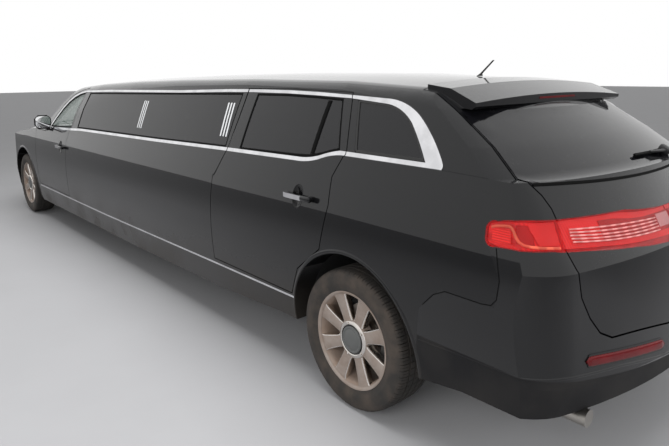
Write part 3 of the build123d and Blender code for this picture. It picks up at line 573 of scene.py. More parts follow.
@dataclass(frozen=True)
class Leather:
    """Seat leather with pores and creases."""

    name: str
    colour: Colour

    def material(self) -> bpy.types.Material:
        """Build the leather.

        Returns:
            The finished material.
        """
        graph = Graph(self.name)
        pore = graph.cells(320.0, "DISTANCE_TO_EDGE")
        crease = graph.noise(28.0, 6.0)
        height = pore.step(0.0, 0.12) * 0.4 + crease * 0.6
        tone = graph.blend(crease.step(0.3, 0.75), self.colour, shade(self.colour, 1.5))
        return graph.dress(Base_Color=tone, Roughness=0.42 + crease * 0.15,
                           Normal=graph.bump(height, 0.0006, 0.5))


@dataclass(frozen=True)
class Wood:
    """Lacquered dark veneer."""

    name: str = "cabinet_veneer"
    light: Colour = (0.14, 0.065, 0.028)
    dark: Colour = (0.050, 0.022, 0.010)

    def material(self) -> bpy.types.Material:
        """Build the veneer.

        Returns:
            The finished material.
        """
        graph = Graph(self.name)
        stretched = graph.node("ShaderNodeMapping", None, {"Vector": graph.spot(), "Scale": (1.2, 9.0, 9.0)})
        grain = graph.node("ShaderNodeTexNoise", None, {"Vector": stretched, "Scale": 5.0, "Detail": 8.0})
        return graph.dress(Base_Color=graph.blend(grain.step(0.35, 0.65), self.light, self.dark),
                           Roughness=0.25 + grain * 0.1, Coat_Weight=0.7, Coat_Roughness=0.06)


@dataclass(frozen=True)
class Carpet:
    """Cut pile on the cabin floor."""

    name: str = "floor_carpet"
    colour: Colour = (0.028, 0.026, 0.025)

    def material(self) -> bpy.types.Material:
        """Build the carpet.

        Returns:
            The finished material.
        """
        graph = Graph(self.name)
        pile = graph.noise(700.0, 2.0)
        tone = graph.blend(graph.noise(6.0).step(0.3, 0.7), self.colour, shade(self.colour, 1.6))
        return graph.dress(Base_Color=tone, Roughness=0.95, Normal=graph.bump(pile, 0.002, 0.8))


@dataclass(frozen=True)
class Cup:
    """Finger cup pressed into a door: body paint whose shading dips like a bowl, with painted shade darkening
    its middle.
    """

    name: str
    centre: Pair
    half: Pair = (0.046, 0.064)
    depth: float = 0.030
    # painted shade: the near-black middle tone stands for shade in the cup's hollow
    middle: Colour = (0.0008, 0.0008, 0.0009)
    rim: Colour = (0.004, 0.004, 0.0045)

    def material(self) -> bpy.types.Material:
        """Build the cup's finish.

        Returns:
            The finished material.
        """
        graph = Graph(self.name)
        along, _, height = graph.place()
        across = ((along - self.centre[0]) / self.half[0]) ** 2.0
        upwards = ((height - self.centre[1]) / self.half[1]) ** 2.0
        bowl = (across + upwards).step(0.0, 1.0)
        # painted shade: the colour darkens from the rim's tone to the middle's near black, standing for the
        # hollow's shade
        tone = graph.blend(bowl, self.middle, self.rim)
        return graph.dress(Base_Color=tone, Roughness=0.16 + bowl * 0.05, Specular_IOR_Level=0.3,
                           Normal=graph.bump(bowl, self.depth, 0.6))


@dataclass
class Mesh:
    """Vertices and faces on their way to an object, with a material number for each face."""

    vertices: list[Vector] = field(default_factory=list)
    faces: list[tuple[int, ...]] = field(default_factory=list)
    finishes: list[int] = field(default_factory=list)

    def add(self, vertices: Sequence[Vector], faces: Sequence[tuple[int, ...]], finish: int = 0) -> "Mesh":
        """Append loose geometry.

        Args:
            vertices: Points to add.
            faces: Faces that count from the first of those points.
            finish: Material number of the faces.

        Returns:
            The mesh itself.
        """
        start = len(self.vertices)
        self.vertices.extend(Vector(v) for v in vertices)
        self.faces.extend(tuple(i + start for i in face) for face in faces)
        self.finishes.extend([finish] * len(faces))
        return self

    def join(self, other: "Mesh", matrix: Matrix | None = None, finish: int | None = None) -> "Mesh":
        """Append another mesh, moved by a matrix.

        Args:
            other: The mesh to append.
            matrix: Where it goes.
            finish: Material number for all of its faces, or None to keep theirs.

        Returns:
            The mesh itself.
        """
        start = len(self.finishes)
        self.add([matrix @ v for v in other.vertices] if matrix is not None else other.vertices, other.faces)
        self.finishes[start:] = other.finishes if finish is None else [finish] * len(other.faces)
        return self

    def box(self, size: Place, radius: float, matrix: Matrix, steps: int = 3) -> "Mesh":
        """Append a box with rounded edges."""
        return self.join(rounded_box(Vector(size), radius, steps), matrix)


def ring_faces(rings: int, points: int, shape: Shape, capped: bool) -> list[tuple[int, ...]]:
    """Faces between rings of points that follow each other.

    Args:
        rings: Number of rings.
        points: Number of points in a ring.
        shape: Whether the last ring joins the first.
        capped: Whether the two end rings are filled.

    Returns:
        The faces.
    """
    faces = []
    last = rings if shape is Shape.CLOSED else rings - 1
    for i in range(last):
        a, b = i * points, (i + 1) % rings * points
        for j in range(points):
            k = (j + 1) % points
            faces.append((a + j, a + k, b + k, b + j))
    if capped and shape is Shape.OPEN:
        faces.append(tuple(reversed(range(points))))
        faces.append(tuple(range((rings - 1) * points, rings * points)))
    return faces


def sweep(path: Sequence[Vector], normals: Sequence[Vector], section: Sequence[Pair],
          shape: Shape = Shape.OPEN, widths: Sequence[float] | None = None) -> Mesh:
    """Carry a section along a path that lies on a surface.

    Args:
        path: Points of the path.
        normals: The surface's outward normal at each point.
        section: The section's corners, across the path and out from the surface.
        shape: Whether the path closes.
        widths: Factors on the section's width along the path.

    Returns:
        The swept mesh.
    """
    count = len(path)
    mesh = Mesh()
    points = []
    for i, (here, normal) in enumerate(zip(path, normals)):
        if shape is Shape.CLOSED:
            way = path[(i + 1) % count] - path[i - 1]
        else:
            way = path[min(i + 1, count - 1)] - path[max(i - 1, 0)]
        out = (normal - way.normalized() * normal.dot(way.normalized())).normalized()
        across = way.normalized().cross(out)
        factor = widths[i] if widths is not None else 1.0
        points.extend(here + across * (a * factor) + out * b for a, b in section)
    return mesh.add(points, ring_faces(count, len(section), shape, True))


def turned_faces(rings: int, points: int, closed: bool = True) -> list[tuple[int, ...]]:
    """Faces between profiles that follow each other round a full turn.

    Args:
        rings: Number of profiles.
        points: Number of points in a profile.
        closed: Whether the profile's last point joins its first.

    Returns:
        The faces.
    """
    faces = []
    for i in range(rings):
        a, b = i * points, (i + 1) % rings * points
        for j in range(points if closed else points - 1):
            k = (j + 1) % points
            faces.append((a + j, b + j, b + k, a + k))
    return faces


def lathe(profile: Sequence[Pair], segments: int, closed: bool = True) -> Mesh:
    """Turn a profile of distance along Y and radius about the Y axis.

    Args:
        profile: Its points, along Y and out from it.
        segments: Number of profiles round the axis.
        closed: Whether the profile's last point joins its first.

    Returns:
        The turned mesh.
    """
    points = []
    for i in range(segments):
        angle = math.tau * i / segments
        points.extend(Vector((radius * math.cos(angle), along, -radius * math.sin(angle)))
                      for along, radius in profile)
    return Mesh().add(points, turned_faces(segments, len(profile), closed))


def rounded_box(size: Vector, radius: float, steps: int = 3) -> Mesh:
    """Box about the origin with rounded edges.

    Args:
        size: Its three sides.
        radius: Radius of its edges.
        steps: Steps in each rounded corner.

    Returns:
        The box.
    """
    mesh = Mesh()
    half = size / 2
    count = 4 * steps + 4
    levels = []
    for i in range(steps + 1):
        angle = math.pi / 2 * i / steps
        levels.append((radius * (1 - math.sin(angle)), -half.z + radius * (1 - math.cos(angle))))
    levels = levels + [(inset, -z) for inset, z in reversed(levels)]
    for inset, z in levels:
        for corner, (sx, sy) in enumerate(((1, 1), (-1, 1), (-1, -1), (1, -1))):
            for j in range(steps + 1):
                angle = math.pi / 2 * (corner + j / steps)
                reach = radius - inset
                mesh.vertices.append(Vector((sx * (half.x - radius) + reach * math.cos(angle),
                                             sy * (half.y - radius) + reach * math.sin(angle), z)))
    mesh.faces = ring_faces(len(levels), count, Shape.OPEN, True)
    mesh.finishes = [0] * len(mesh.faces)
    return mesh


def resample(points: Sequence[Pair], spacing: float, closed: bool) -> list[Pair]:
    """Points at an even spacing along a run of straight lines, corners kept.

    Args:
        points: Ends of the straight lines.
        spacing: Wanted distance.
        closed: Whether the last point joins the first.

    Returns:
        The points.
    """
    result = []
    ends = list(points) + ([points[0]] if closed else [])
    for (x0, z0), (x1, z1) in zip(ends, ends[1:]):
        steps = max(1, round(math.hypot(x1 - x0, z1 - z0) / spacing))
        result.extend((x0 + (x1 - x0) * i / steps, z0 + (z1 - z0) * i / steps) for i in range(steps))
    if not closed:
        result.append(ends[-1])
    return result


def inset(points: Sequence[Pair], distance: float) -> list[Pair]:
    """Move a closed outline inwards, or outwards by a negative distance.

    Args:
        points: Corners of the outline.
        distance: How far.

    Returns:
        The moved outline.
    """
    count = len(points)
    turned = sum(a[0] * b[1] - b[0] * a[1] for a, b in zip(points, list(points[1:]) + [points[0]]))
    way = 1.0 if turned > 0 else -1.0
    moved = []
    for i, (x, z) in enumerate(points):
        before, after = Vector(points[i - 1]), Vector(points[(i + 1) % count])
        here = Vector((x, z))
        first, second = (here - before).normalized(), (after - here).normalized()
        middle = Vector((-first.y - second.y, first.x + second.x)) * way
        share = max(0.5, 0.5 * middle.length)
        place = here + middle.normalized() * (distance / share) if middle.length > 1e-6 else here
        moved.append((place.x, place.y))
    return moved


def rounded(points: Sequence[Pair], radius: float, steps: int = 5) -> list[Pair]:
    """Round every corner of a closed outline.

    Args:
        points: Corners of the outline.
        radius: Largest distance from a corner that the rounding takes.
        steps: Steps in each rounded corner.

    Returns:
        The rounded outline.
    """
    result = []
    count = len(points)
    for i, point in enumerate(points):
        here, before, after = Vector(point), Vector(points[i - 1]), Vector(points[(i + 1) % count])
        start = here + (before - here).normalized() * min(radius, 0.45 * (before - here).length)
        end = here + (after - here).normalized() * min(radius, 0.45 * (after - here).length)
        for step in range(steps + 1):
            t = step / steps
            place = start * (1 - t) ** 2 + here * (2 * t * (1 - t)) + end * t ** 2
            result.append((place.x, place.y))
    return result


def oval(half_a: float, half_b: float, power: float = 2.0, count: int = 48) -> list[Pair]:
    """Outline of an oval, squarer with a higher power.

    Args:
        half_a: Half of its width.
        half_b: Half of its height.
        power: 2 for an ellipse, more for a squarer oval.
        count: Number of points.

    Returns:
        Its points.
    """
    result = []
    for i in range(count):
        c, s = math.cos(math.tau * i / count), math.sin(math.tau * i / count)
        result.append((half_a * math.copysign(abs(c) ** (2 / power), c),
                       half_b * math.copysign(abs(s) ** (2 / power), s)))
    return result


def plate(outline: Sequence[Pair], thickness: float, edge: float) -> Mesh:
    """Flat piece of an outline, its top and bottom edges rounded off.

    Args:
        outline: Corners of its outline.
        thickness: Its thickness.
        edge: Width of the rounded edge.

    Returns:
        The piece, its outline in X and Y.
    """
    levels = ((edge, 0.0), (0.3 * edge, 0.3 * edge), (0.0, edge), (0.0, thickness - edge),
              (0.3 * edge, thickness - 0.3 * edge), (edge, thickness))
    points = [Vector((x, y, z)) for inwards, z in levels for x, y in inset(outline, inwards)]
    return Mesh().add(points, ring_faces(len(levels), len(outline), Shape.OPEN, True))


def stand(place: Vector, out: Vector, up: Vector = Vector((0.0, 0.0, 1.0))) -> Matrix:
    """Matrix that sets a flat piece on a surface, its Z outwards and its Y upwards.

    Args:
        place: Where it stands.
        out: The surface's outward normal.
        up: Where its Y leans to.

    Returns:
        The matrix.
    """
    across = up.cross(out).normalized()
    upright = out.cross(across).normalized()
    return Matrix.Translation(place) @ Matrix((across, upright, out.normalized())).transposed().to_4x4()


class Skin:
    """Outer surface of some CAD nodes, to lay pieces on."""

    def __init__(self, nodes: dict, names: Iterable[str]) -> None:
        """Collect the surfaces of the named nodes.

        Args:
            nodes: The CAD nodes by name.
            names: Names of those that are wanted.
        """
        vertices: list[Vector] = []
        faces: list[tuple[int, ...]] = []
        for name in names:
            data = nodes[name].data
            start = len(vertices)
            vertices.extend(v.co.copy() for v in data.vertices)
            faces.extend(tuple(i + start for i in p.vertices) for p in data.polygons)
        self.tree = BVHTree.FromPolygons(vertices, faces)

    def hit(self, start: Vector, way: Vector) -> Hit | None:
        """The first point on a ray and its normal turned against the ray.

        Args:
            start: Where the ray starts.
            way: Its direction.

        Returns:
            Point and normal, or None where the ray misses.
        """
        place, normal, _, _ = self.tree.ray_cast(start, way)
        if place is None:
            return None
        return place, -normal if normal.dot(way) > 0 else normal

    def from_side(self, x: float, z: float, side: Side = Side.LEFT) -> Hit | None:
        """The surface as seen from one side."""
        return self.hit(Vector((x, side.value * SIDE_DISTANCE, z)), Vector((0, -side.value, 0)))

    def from_rear(self, y: float, z: float) -> Hit | None:
        """The surface as seen from behind."""
        return self.hit(Vector((-END_DISTANCE, y, z)), Vector((1, 0, 0)))

    def from_front(self, y: float, z: float) -> Hit | None:
        """The surface as seen from ahead."""
        return self.hit(Vector((END_DISTANCE, y, z)), Vector((-1, 0, 0)))

    def round_tail(self, degrees: float, z: float, centre: Pair) -> Hit | None:
        """The surface met from outside at an angle round a point in the tail.

        Args:
            degrees: 0 at the left side, 90 at the rear and 180 at the right side.
            z: Height of the ray.
            centre: X and Y of the point that the ray runs to.

        Returns:
            Point and normal, or None where the ray misses.
        """
        way = Vector((-math.sin(math.radians(degrees)), math.cos(math.radians(degrees)), 0))
        return self.hit(Vector((centre[0], centre[1], z)) + way * TAIL_DISTANCE, -way)


def on_skin(hits: Iterable[Hit | None], lift: float = 0.0) -> tuple[list[Vector], list[Vector]]:
    """Split surface hits into points, lifted along their normals, and normals."""
    kept = [hit for hit in hits if hit is not None]
    return [place + normal * lift for place, normal in kept], [normal for _, normal in kept]


def rim_of(rows: int, columns: int) -> list[int]:
    """Numbers of a grid's outer points, once round.

    Args:
        rows: Rows of the grid.
        columns: Points in a row.

    Returns:
        The numbers.
    """
    return ([j for j in range(columns)] + [i * columns + columns - 1 for i in range(1, rows)]
            + [(rows - 1) * columns + j for j in range(columns - 2, -1, -1)]
            + [i * columns for i in range(rows - 2, 0, -1)])


def sheet_of(rows: Sequence[Sequence[Hit]], lift: float, thickness: float) -> Mesh:
    """Closed slab under or over a surface, from a grid of its points and normals.

    Args:
        rows: The grid.
        lift: Distance of its outer face from the surface.
        thickness: Thickness of the slab.

    Returns:
        The slab.
    """
    height, width = len(rows), len(rows[0])
    outer = [p + n * lift for row in rows for p, n in row]
    inner = [p + n * (lift - thickness) for row in rows for p, n in row]
    offset = height * width
    faces: list[tuple[int, ...]] = []
    for i in range(height - 1):
        for j in range(width - 1):
            a, b = i * width + j, (i + 1) * width + j
            faces.append((a, a + 1, b + 1, b))
            faces.append((a + offset, b + offset, b + 1 + offset, a + 1 + offset))
    rim = rim_of(height, width)
    for a, b in zip(rim, rim[1:] + rim[:1]):
        faces.append((b, a, a + offset, b + offset))
    return Mesh().add(outer + inner, faces)


@dataclass
class Finishes:
    """Every material of the car, built once."""

    made: dict[str, bpy.types.Material] = field(default_factory=dict)

    def __post_init__(self) -> None:
        """Build the materials."""
        for finish in (
                Paint(),
                Bumper("rear_bumper_cover", 0.512, 0.058), Bumper("front_bumper_cover", 0.420, 0.030),
                Metal("bright_trim", (0.80, 0.80, 0.82), 0.07, spots=0.05),
                Metal("exhaust_metal", (0.42, 0.40, 0.37), 0.30),
                Metal("disc_steel", (0.36, 0.33, 0.30), 0.35, grain=90.0),
                Metal("mirror_face", (0.88, 0.89, 0.90), 0.01, spots=0.01),
                Metal("polished_edge", (0.74, 0.70, 0.66), 0.16),
                WheelAlloy(), WheelAlloy("wheel_barrel", (0.48, 0.44, 0.40), (0.24, 0.16, 0.115), 0.9),
                TyreRubber(),
                Glass("clear_glass", (0.30, 0.36, 0.33), 0.30),
                Glass("dark_glass", (0.004, 0.004, 0.005), 0.93),
                Lens("red_lens", (0.62, 0.010, 0.012), 0.42),
                Lens("reflector_red", (0.13, 0.003, 0.005), 0.9),
                Lens("clear_lens", (0.55, 0.57, 0.58), 0.22),
                LampInside("red_reflector", (0.85, 0.030, 0.028), 0.1, 150.0),
                LampInside("red_block", (1.0, 0.045, 0.035), 0.0, 900.0),
                LampInside("red_panel", (0.90, 0.05, 0.045), 0.0, 2400.0),
                LampInside("dark_section", (0.16, 0.010, 0.009), 0.3, 520.0),
                LampInside("lamp_silver", (0.75, 0.75, 0.76), 0.85),
                LampInside("light_pipe", (1.0, 0.30, 0.16), 0.0, 40.0),
                LampInside("pale_bar", (1.0, 0.80, 0.76), 0.0, 30.0),
                # finger cups: body paint with painted shade darkening towards their middles
                Cup("front_cup", (ahead(-0.553 - 0.952), 0.965)),
                Cup("rear_cup", (behind(1.340 - 0.922), 1.058)),
                Plastic("underbody_coat", (0.012, 0.012, 0.012), 0.75, 240.0, 0.0006),
                Plastic("cast_metal", (0.060, 0.058, 0.055), 0.6, 420.0, 0.0005, 0.5),
                Plastic("cabin_plastic", (0.014, 0.014, 0.015), 0.55),
                Plastic("gloss_black", (0.004, 0.004, 0.004), 0.08, 900.0, 0.00002, 0.05),
                Plastic("seal_rubber", (0.002, 0.002, 0.002), 0.75, 900.0, 0.0001, 0.02, 0.10),
                Plastic("white_marking", (0.62, 0.63, 0.64), 0.35, 900.0, 0.00005, 0.1),
                Plastic("cap_grey", (0.085, 0.088, 0.086), 0.38, 900.0, 0.0001, 0.5),
                Plastic("headliner_cloth", (0.16, 0.155, 0.145), 0.9, 1200.0, 0.0004),
                Leather("seat_leather", (0.016, 0.015, 0.014)), Leather("seat_piping", (0.08, 0.078, 0.072)),
                Wood(), Carpet()):
            self.made[finish.name] = finish.material()

    def __getitem__(self, name: str) -> bpy.types.Material:
        """The material of that name."""
        return self.made[name]


@dataclass
class Fitting:
    """Sub-assembly that is built on the CAD nodes out of the car's finishes."""

    nodes: dict
    finishes: Finishes

    def make(self, mesh: Mesh, name: str, finish: str, body: str, slot: str,
             smooth: float = 40.0) -> bpy.types.Object:
        """Make one piece of a mesh, dress it and let it ride.

        Args:
            mesh: Its shape.
            name: Name of the piece.
            finish: Names of its finishes, spaced, in the order of the faces' numbers.
            body: The CAD body that it moves with.
            slot: The record's material slot that it belongs to; not used.
            smooth: Angle in degrees up to which its edges shade smooth.

        Returns:
            The new object.
        """
        data = bpy.data.meshes.new(name)
        data.from_pydata([tuple(v) for v in mesh.vertices], [], mesh.faces)
        for part in finish.split():
            data.materials.append(self.finishes[part])
        data.polygons.foreach_set("material_index", mesh.finishes)
        data.update()
        data.shade_smooth()
        data.set_sharp_from_angle(angle=math.radians(smooth))
        made = bpy.data.objects.new(name, data)
        bpy.context.scene.collection.objects.link(made)
        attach(made, body)
        LOG.info("made %s on %s", name, body)
        return made


@dataclass
class Shell(Fitting):
    """The CAD nodes that keep their shape, each with its finish and softened edges."""

    finish_of: tuple[tuple[str, str], ...] = (
        ("black_paint", "body_side_left body_side_right cowl front_fenders hood roof tailgate spoiler "
                        "mirror_left mirror_right front_door_left front_door_right rear_door_left "
                        "rear_door_right"),
        ("rear_bumper_cover", "rear_bumper"),
        ("front_bumper_cover", "front_bumper"),
        ("underbody_coat", "floor_pan fuel_tank"),
        ("clear_glass", "windshield front_door_glass_left front_door_glass_right"),
        ("dark_glass", "side_glass tailgate_glass rear_door_glass_left rear_door_glass_right"),
        ("bright_trim", "side_trim sill_strips grille front_door_trim_left front_door_trim_right "
                        "rear_door_trim_left rear_door_trim_right"),
        ("red_lens", "tail_lamps tailgate_lamp"),
        ("clear_lens", "headlamps"),
        ("cast_metal", "front_subframe rear_subframe engine knuckle_left knuckle_right"),
        ("exhaust_metal", "exhaust"),
        ("cabin_plastic", "dashboard partition steering_wheel"),
        ("cabinet_veneer", "bar_cabinet"),
        ("gloss_black", "antenna"),
        ("seat_leather", "front_seats lounge_seats"))
    round_nodes: tuple[str, ...] = ("mirror", "knuckle", "exhaust", "steering", "fuel_tank", "antenna")
    sharp: float = 11.5
    sharp_cast: float = 48.0
    merge: float = 0.00001
    weight: int = 80

    def dress(self) -> None:
        """Give each node its material and smooth its curved faces."""
        sheet = self._smoothing("smooth_sheet", self.sharp)
        cast = self._smoothing("smooth_cast", self.sharp_cast)
        for finish, names in self.finish_of:
            for name in names.split():
                node = self.nodes[name]
                for slot in node.material_slots:
                    slot.material = self.finishes[finish]
                self._soften(node, cast if name.startswith(self.round_nodes) else sheet)
        LOG.info("dressed the CAD nodes")

    def _smoothing(self, name: str, sharp: float) -> bpy.types.NodeTree:
        """Node group that joins a mesh's seams, shades it smooth and marks edges over an angle sharp.

        Args:
            name: Name to give it.
            sharp: Angle in degrees over which an edge stays sharp.

        Returns:
            The node group.
        """
        tree = bpy.data.node_groups.new(name, "GeometryNodeTree")
        for way in ("INPUT", "OUTPUT"):
            tree.interface.new_socket("Geometry", in_out=way, socket_type="NodeSocketGeometry")
        start, end = tree.nodes.new("NodeGroupInput"), tree.nodes.new("NodeGroupOutput")
        merge = tree.nodes.new("GeometryNodeMergeByDistance")
        merge.inputs["Distance"].default_value = self.merge
        faces, edges = (tree.nodes.new("GeometryNodeSetShadeSmooth") for _ in range(2))
        faces.domain, edges.domain = "FACE", "EDGE"
        edges.inputs["Shade Smooth"].default_value = False
        angle = tree.nodes.new("GeometryNodeInputMeshEdgeAngle")
        limit = tree.nodes.new("ShaderNodeMath")
        limit.operation = "GREATER_THAN"
        limit.inputs[1].default_value = math.radians(sharp)
        tree.links.new(angle.outputs[0], limit.inputs[0])
        tree.links.new(limit.outputs[0], edges.inputs["Selection"])
        for before, after in ((start, merge), (merge, faces), (faces, edges), (edges, end)):
            tree.links.new(before.outputs[0], after.inputs[0])
        return tree

    def _soften(self, node: bpy.types.Object, smoothing: bpy.types.NodeTree) -> None:
        """Shade curved faces smooth and keep real edges.

        Args:
            node: The CAD node.
            smoothing: The node group for it.
        """
        node.modifiers.new("smooth", "NODES").node_group = smoothing
        weighted = node.modifiers.new("weighted", "WEIGHTED_NORMAL")
        weighted.keep_sharp = True
        weighted.weight = self.weight


@dataclass
class Wheels(Fitting):
    """Four wheels: tyre with tread, dusty spoked rim, cap, lug nuts, disc and caliper."""

    spokes: int = 8
    spoke_depth: float = 0.042
    face: float = 0.087
    nuts: int = 5
    nut_circle: float = 0.0865
    pitches: int = 68
    tyre_radius: float = 0.370
    tread_drop: float = 0.0040
    tread_half: float = 0.098
    grooves: tuple[float, ...] = (-0.058, -0.020, 0.020, 0.058)
    groove_depth: float = 0.007
    shoulder: float = 0.064
    block_depth: float = 0.0060
    sipe_depth: float = 0.0035
    caliper_half: float = 30.0
    disc: tuple[Pair, ...] = (
        (-0.034, 0.055), (-0.034, 0.1640), (-0.0245, 0.1650), (-0.0235, 0.1560), (-0.0185, 0.1560),
        (-0.0175, 0.1650), (-0.008, 0.1640), (-0.008, 0.0950), (0.012, 0.0900), (0.014, 0.072),
        (0.052, 0.072), (0.052, 0.055))
    cap: tuple[Pair, ...] = (
        (0.086, 0.0), (0.086, 0.0690), (0.0945, 0.0705), (0.0985, 0.0675), (0.0990, 0.0620),
        (0.0965, 0.0585), (0.0965, 0.0540), (0.0992, 0.0500), (0.1010, 0.0280), (0.1015, 0.0))
    # painted shade: gloss black floor of the groove between cap and ring, standing for the groove's shade
    bed: tuple[Pair, ...] = ((0.084, 0.060), (0.0895, 0.060), (0.0895, 0.0775), (0.084, 0.0775))
    ring: tuple[Pair, ...] = (
        (0.086, 0.0760), (0.0935, 0.0775), (0.0960, 0.0810), (0.0955, 0.0850), (0.0900, 0.0960),
        (0.0862, 0.0985))
    boss: tuple[Pair, ...] = (
        (0.030, 0.0), (0.030, 0.100), (0.078, 0.1035), (0.0865, 0.1010), (0.0880, 0.0960), (0.0880, 0.0))
    stations: tuple[Pair, ...] = (
        (0.080, 0.0370), (0.102, 0.0335), (0.118, 0.0325), (0.150, 0.0345), (0.190, 0.0380),
        (0.218, 0.0410), (0.232, 0.0450), (0.2405, 0.0540))
    outer_lip: tuple[Pair, ...] = (
        (0.090, 0.2390), (0.0985, 0.2400), (0.1040, 0.2450), (0.1075, 0.2520), (0.1070, 0.2560),
        (0.1030, 0.2568), (0.0985, 0.2545), (0.0975, 0.2428), (0.090, 0.2426))
    barrel: tuple[Pair, ...] = (
        (-0.100, 0.2425), (-0.100, 0.2530), (-0.104, 0.2560), (-0.106, 0.2500), (-0.100, 0.2360),
        (-0.070, 0.2270), (0.020, 0.2240), (0.070, 0.2290), (0.088, 0.2360), (0.097, 0.2405),
        (0.097, 0.2425), (0.060, 0.2425), (0.020, 0.2320), (-0.060, 0.2320), (-0.080, 0.2425))
    tread_cuts: tuple[Pair, ...] = (
        (0.02, 0.0), (0.05, 1.0), (0.11, 1.0), (0.14, 0.0), (0.40, 0.0), (0.58, 0.0), (0.60, 0.4),
        (0.63, 0.4), (0.65, 0.0), (0.86, 0.0))
    segments: int = 128
    hub_segments: int = 96
    nut: tuple[Pair, ...] = (
        (0.088, 0.0), (0.088, 0.0062), (0.0985, 0.0058), (0.1000, 0.0040), (0.1000, 0.0))
    nut_sides: int = 6
    tread_edge: tuple[Pair, ...] = (
        (-0.1060, 0.3590), (-0.0990, 0.3635), (-0.0850, 0.3668), (-0.0700, 0.3684))
    tyre_wall: tuple[Pair, ...] = (
        (-0.097, 0.2436), (-0.103, 0.252), (-0.1065, 0.262), (-0.1085, 0.266), (-0.1135, 0.285),
        (-0.1155, 0.288), (-0.1170, 0.303), (-0.1172, 0.318), (-0.1160, 0.334), (-0.1125, 0.349))

    def build(self) -> None:
        """Build one mesh of each kind and set it on every axle end."""
        tyre, rim, spokes = self._tyre(), self._rim(), self._spokes()
        hub, disc, caliper = self._hub(), self._disc(), self._caliper()
        for end in End:
            for side in Side:
                where = f"{end.word}_{side.word}"
                body = f"{where}_wheel"
                carrier = f"front_{side.word}_knuckle" if end is End.FRONT else "chassis"
                rows = (("tyre", tyre, "tyre_rubber", body, "tyre", 40.0),
                        ("wheel_rim", rim, "wheel_barrel wheel_alloy", body, "wheel_alloy", 35.0),
                        ("wheel_spokes", spokes, "wheel_alloy polished_edge", body, "wheel_alloy", 30.0),
                        # the hub's gloss black is the groove floor, painted shade between cap and ring
                        ("wheel_hub", hub, "wheel_alloy polished_edge cap_grey gloss_black", body,
                         "wheel_alloy", 30.0),
                        ("brake_disc", disc, "disc_steel", body, "cast_parts", 30.0),
                        ("brake_caliper", caliper, "cast_metal", carrier, "cast_parts", 30.0))
                for name, mesh, finish, owner, slot, smooth in rows:
                    made = self.make(mesh, f"{name}_{where}", finish, owner, slot, smooth)
                    made.location = (end.value, side.value * WHEEL_PLANE, AXLE_HEIGHT)
                    made.rotation_euler = (0.0, 0.0, 0.0 if side is Side.LEFT else math.pi)
                    if name == "tyre":
                        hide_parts(f"tyre_{where}")
                    if name == "wheel_rim":
                        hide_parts(f"rim_{where}")
        LOG.info("built the wheels")

    def _tyre(self) -> Mesh:
        """Tyre with ribs, sipes and shoulder blocks.

        Returns:
            The tyre about the Y axis.
        """
        wall = list(self.tyre_wall)
        tread = list(self.tread_edge)
        for groove in self.grooves:
            tread += [(groove - 0.0045, 0.0), (groove - 0.0030, -self.groove_depth),
                      (groove + 0.0030, -self.groove_depth), (groove + 0.0045, 0.0)]
        tread += [(-a, r) for a, r in reversed(self.tread_edge)]
        crown = [(a, r if r > 0.1 else self.tyre_radius - self.tread_drop * (a / self.tread_half) ** 2 + r)
                 for a, r in tread]
        outline = wall + crown + [(-a, r) for a, r in reversed(wall)]
        pitch = math.tau / self.pitches
        columns = []
        for i in range(self.pitches):
            for share, cut in self.tread_cuts:
                columns.append(((i + share) * pitch, cut))
        points = []
        for angle, cut in columns:
            for along, radius in outline:
                flat = abs(along) > self.shoulder and radius > 0.350
                rib = radius > 0.362 and not flat
                depth = self.block_depth if flat else self.sipe_depth if rib and cut > 0.5 else 0.0
                r = radius - cut * depth
                points.append(Vector((r * math.cos(angle), along, -r * math.sin(angle))))
        return Mesh().add(points, turned_faces(len(columns), len(outline)))

    def _rim(self) -> Mesh:
        """Barrel with its bead seats and the flat outer lip.

        Returns:
            The rim about the Y axis.
        """
        return lathe(self.barrel, self.segments).join(lathe(self.outer_lip, self.segments), None, 1)

    def _spokes(self) -> Mesh:
        """Broad flat spokes with polished side edges, flared into the lip.

        Returns:
            All spokes about the Y axis.
        """
        mesh = Mesh()
        for number in range(self.spokes):
            spin = Matrix.Rotation(math.tau * (number + 0.5) / self.spokes, 4, "Y")
            rings = []
            for radius, half in self.stations:
                top = self.face + (radius - 0.1) * 0.065
                bottom = top - self.spoke_depth + 0.010 * (radius - 0.1) / 0.14
                section = ((-half, bottom), (-half - 0.002, top - 0.010), (-half + 0.0015, top - 0.0022),
                           (-half + 0.0055, top), (half - 0.0055, top), (half - 0.0015, top - 0.0022),
                           (half + 0.002, top - 0.010), (half, bottom))
                rings.extend(spin @ Vector((radius, along, across)) for across, along in section)
            sides = len(rings) // len(self.stations)
            faces = ring_faces(len(self.stations), sides, Shape.OPEN, True)
            start = len(mesh.faces)
            mesh.add(rings, faces)
            mesh.finishes[start:] = [int(i % sides in (0, 1, 2, 4, 5, 6) and i < len(faces) - 2)
                                     for i in range(len(faces))]
        return mesh

    def _hub(self) -> Mesh:
        """Boss behind the spokes, polished ring, lug nuts, the plain centre cap and a gloss black groove
        floor, painted shade between cap and ring.

        Returns:
            The hub about the Y axis.
        """
        mesh = lathe(self.boss, self.hub_segments, False).join(lathe(self.ring, self.hub_segments), None, 1)
        # painted shade: gloss black floor in the groove between cap and ring
        mesh.join(lathe(self.bed, self.hub_segments), None, 3)
        mesh.join(lathe(self.cap, self.hub_segments, False), None, 2)
        nut = lathe(self.nut, self.nut_sides, False)
        for number in range(self.nuts):
            spin = Matrix.Rotation(math.tau * number / self.nuts, 4, "Y")
            mesh.join(nut, spin @ Matrix.Translation((self.nut_circle, 0, 0)), 1)
        return mesh

    def _disc(self) -> Mesh:
        """Brake disc with its hat, vented edge and turned lines.

        Returns:
            The disc about the Y axis.
        """
        return lathe(self.disc, self.hub_segments)

